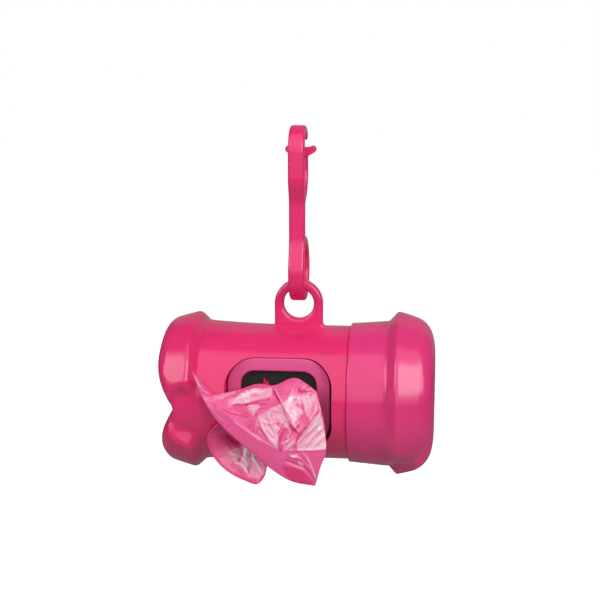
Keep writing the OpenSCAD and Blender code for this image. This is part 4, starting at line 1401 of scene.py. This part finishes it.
class DISPENSER_OT_stage(bpy.types.Operator):
    """Set the camera, the pale floor and the soft studio lights"""
    bl_idname = "dispenser.stage"
    bl_label = "Stage"

    def execute(self, context):
        s = sizes(context.scene.dispenser_stage)
        self.camera(s)
        self.floor(s)
        self.world()
        self.lamp("left_box", (-455, -263, 285), 0.38, 1.2)
        self.lamp("right_box", (384, -359, 285), 0.4, 1.65)
        self.lamp("back_box", (100, 900, 420), 1.3, 1.2)
        self.lamp("front_box", (80, -790, 650), 1.7, 8.0)
        context.scene.view_settings.view_transform = "Standard"
        return {"FINISHED"}

    def camera(self, s):
        """The portrait's camera, turned and raised about the middle of its view."""
        a, e = s.azimuth, s.elevation
        back = Vector((math.sin(a) * math.cos(e), -math.cos(a) * math.cos(e), math.sin(e)))
        right = Vector((math.cos(a), math.sin(a), 0))
        up = Vector((-math.sin(a) * math.sin(e), math.cos(a) * math.sin(e), math.cos(e)))
        data = bpy.data.cameras.new("camera")
        data.lens = s.lens
        data.clip_start = 0.01
        camera = bpy.data.objects.new("camera", data)
        bpy.context.scene.collection.objects.link(camera)
        target = right * s.view_right + up * s.view_up
        turn = Matrix((right, up, back)).transposed().to_4x4()
        camera.matrix_world = Matrix.Translation(place(*(target + back * s.distance))) @ turn
        bpy.context.scene.camera = camera

    def floor(self, s):
        """A wide pale floor that looks white to the camera and still takes the shadow."""
        half, grey, glow = 6000, 0.4, 0.97
        z = -s.floor_drop
        points = [(-half, -half, z), (half, -half, z), (half, half, z), (-half, half, z)]
        floor = new_piece("floor", points, [(0, 1, 2, 3)])
        material, tree, shader = new_material("floor_paper")
        feed(tree, shader, Base_Color=(grey, grey, grey, 1), Roughness=0.9)
        paper = shader.outputs["BSDF"]
        seen = node(tree, "ShaderNodeLightPath").outputs["Is Camera Ray"]
        light = node(tree, "ShaderNodeEmission", Strength=glow).outputs["Emission"]
        bright = node(tree, "ShaderNodeAddShader", paper, light).outputs["Shader"]
        choice = node(tree, "ShaderNodeMixShader", seen, paper, bright).outputs["Shader"]
        feed(tree, tree.nodes["Material Output"], Surface=choice)
        floor.data.materials.append(material)

    def world(self):
        """White to the eye, and a plain fill as light."""
        world = bpy.data.worlds.new("studio")
        bpy.context.scene.world = world
        world.use_nodes = True
        tree = world.node_tree
        white = (1, 1, 1, 1)
        shown = tree.nodes["Background"]
        feed(tree, shown, Color=white, Strength=1)
        fill = node(tree, "ShaderNodeBackground", Color=white, Strength=FILL)
        seen = node(tree, "ShaderNodeLightPath").outputs
        through = node(tree, "ShaderNodeMath", seen["Is Camera Ray"], seen["Is Transmission Ray"],
                       operation="ADD", use_clamp=True)
        choice = node(tree, "ShaderNodeMixShader", through.outputs["Value"],
                      fill.outputs["Background"], shown.outputs["Background"])
        feed(tree, tree.nodes["World Output"], Surface=choice.outputs["Shader"])

    def lamp(self, name, spot, size, power):
        """A square soft box at a spot in millimetres, with its size in metres and its power in
        watts, that faces the middle of the bone."""
        data = bpy.data.lights.new(name, "AREA")
        data.size = size
        data.energy = power
        lamp = bpy.data.objects.new(name, data)
        bpy.context.scene.collection.objects.link(lamp)
        lamp.location = place(*spot)
        aim = place(0, 0, 0) - lamp.location
        lamp.rotation_euler = aim.to_track_quat("-Z", "Y").to_euler()


class DISPENSER_PT_panel(bpy.types.Panel):
    """The dispenser's pieces, in the order in which they are made"""
    bl_label = "Bone Bag Dispenser"
    bl_idname = "DISPENSER_PT_panel"
    bl_space_type = "VIEW_3D"
    bl_region_type = "UI"
    bl_category = "Dispenser"

    def draw(self, context):
        for operator in OPERATORS:
            self.layout.operator(operator.bl_idname)
        for name in GROUPS:
            box = self.layout.box()
            group = getattr(context.scene, name)
            for key in group.__annotations__:
                box.prop(group, key, text=key.replace("_", " ").capitalize())


OPERATORS = (DISPENSER_OT_stage, DISPENSER_OT_housing, DISPENSER_OT_window, DISPENSER_OT_cap,
             DISPENSER_OT_roll, DISPENSER_OT_clip, DISPENSER_OT_bag)
GROUPS = {
    "dispenser_housing": HousingSizes, "dispenser_window": WindowSizes, "dispenser_cap": CapSizes,
    "dispenser_knuckles": KnuckleSizes, "dispenser_bags": BagSizes, "dispenser_clip": ClipSizes,
    "dispenser_finishes": Finishes, "dispenser_stage": StageSettings,
}


def register():
    for made in (*GROUPS.values(), *OPERATORS, DISPENSER_PT_panel):
        bpy.utils.register_class(made)
    for name, group in GROUPS.items():
        setattr(bpy.types.Scene, name, PointerProperty(type=group))


def unregister():
    for name in GROUPS:
        delattr(bpy.types.Scene, name)
    for made in (DISPENSER_PT_panel, *reversed(OPERATORS), *reversed(GROUPS.values())):
        bpy.utils.unregister_class(made)


def main():
    register()
    bpy.ops.dispenser.stage()
    bpy.ops.dispenser.housing()
    bpy.ops.dispenser.window()
    bpy.ops.dispenser.cap()
    bpy.ops.dispenser.roll()
    bpy.ops.dispenser.clip()
    bpy.ops.dispenser.bag()


if __name__ == "__main__":
    main()
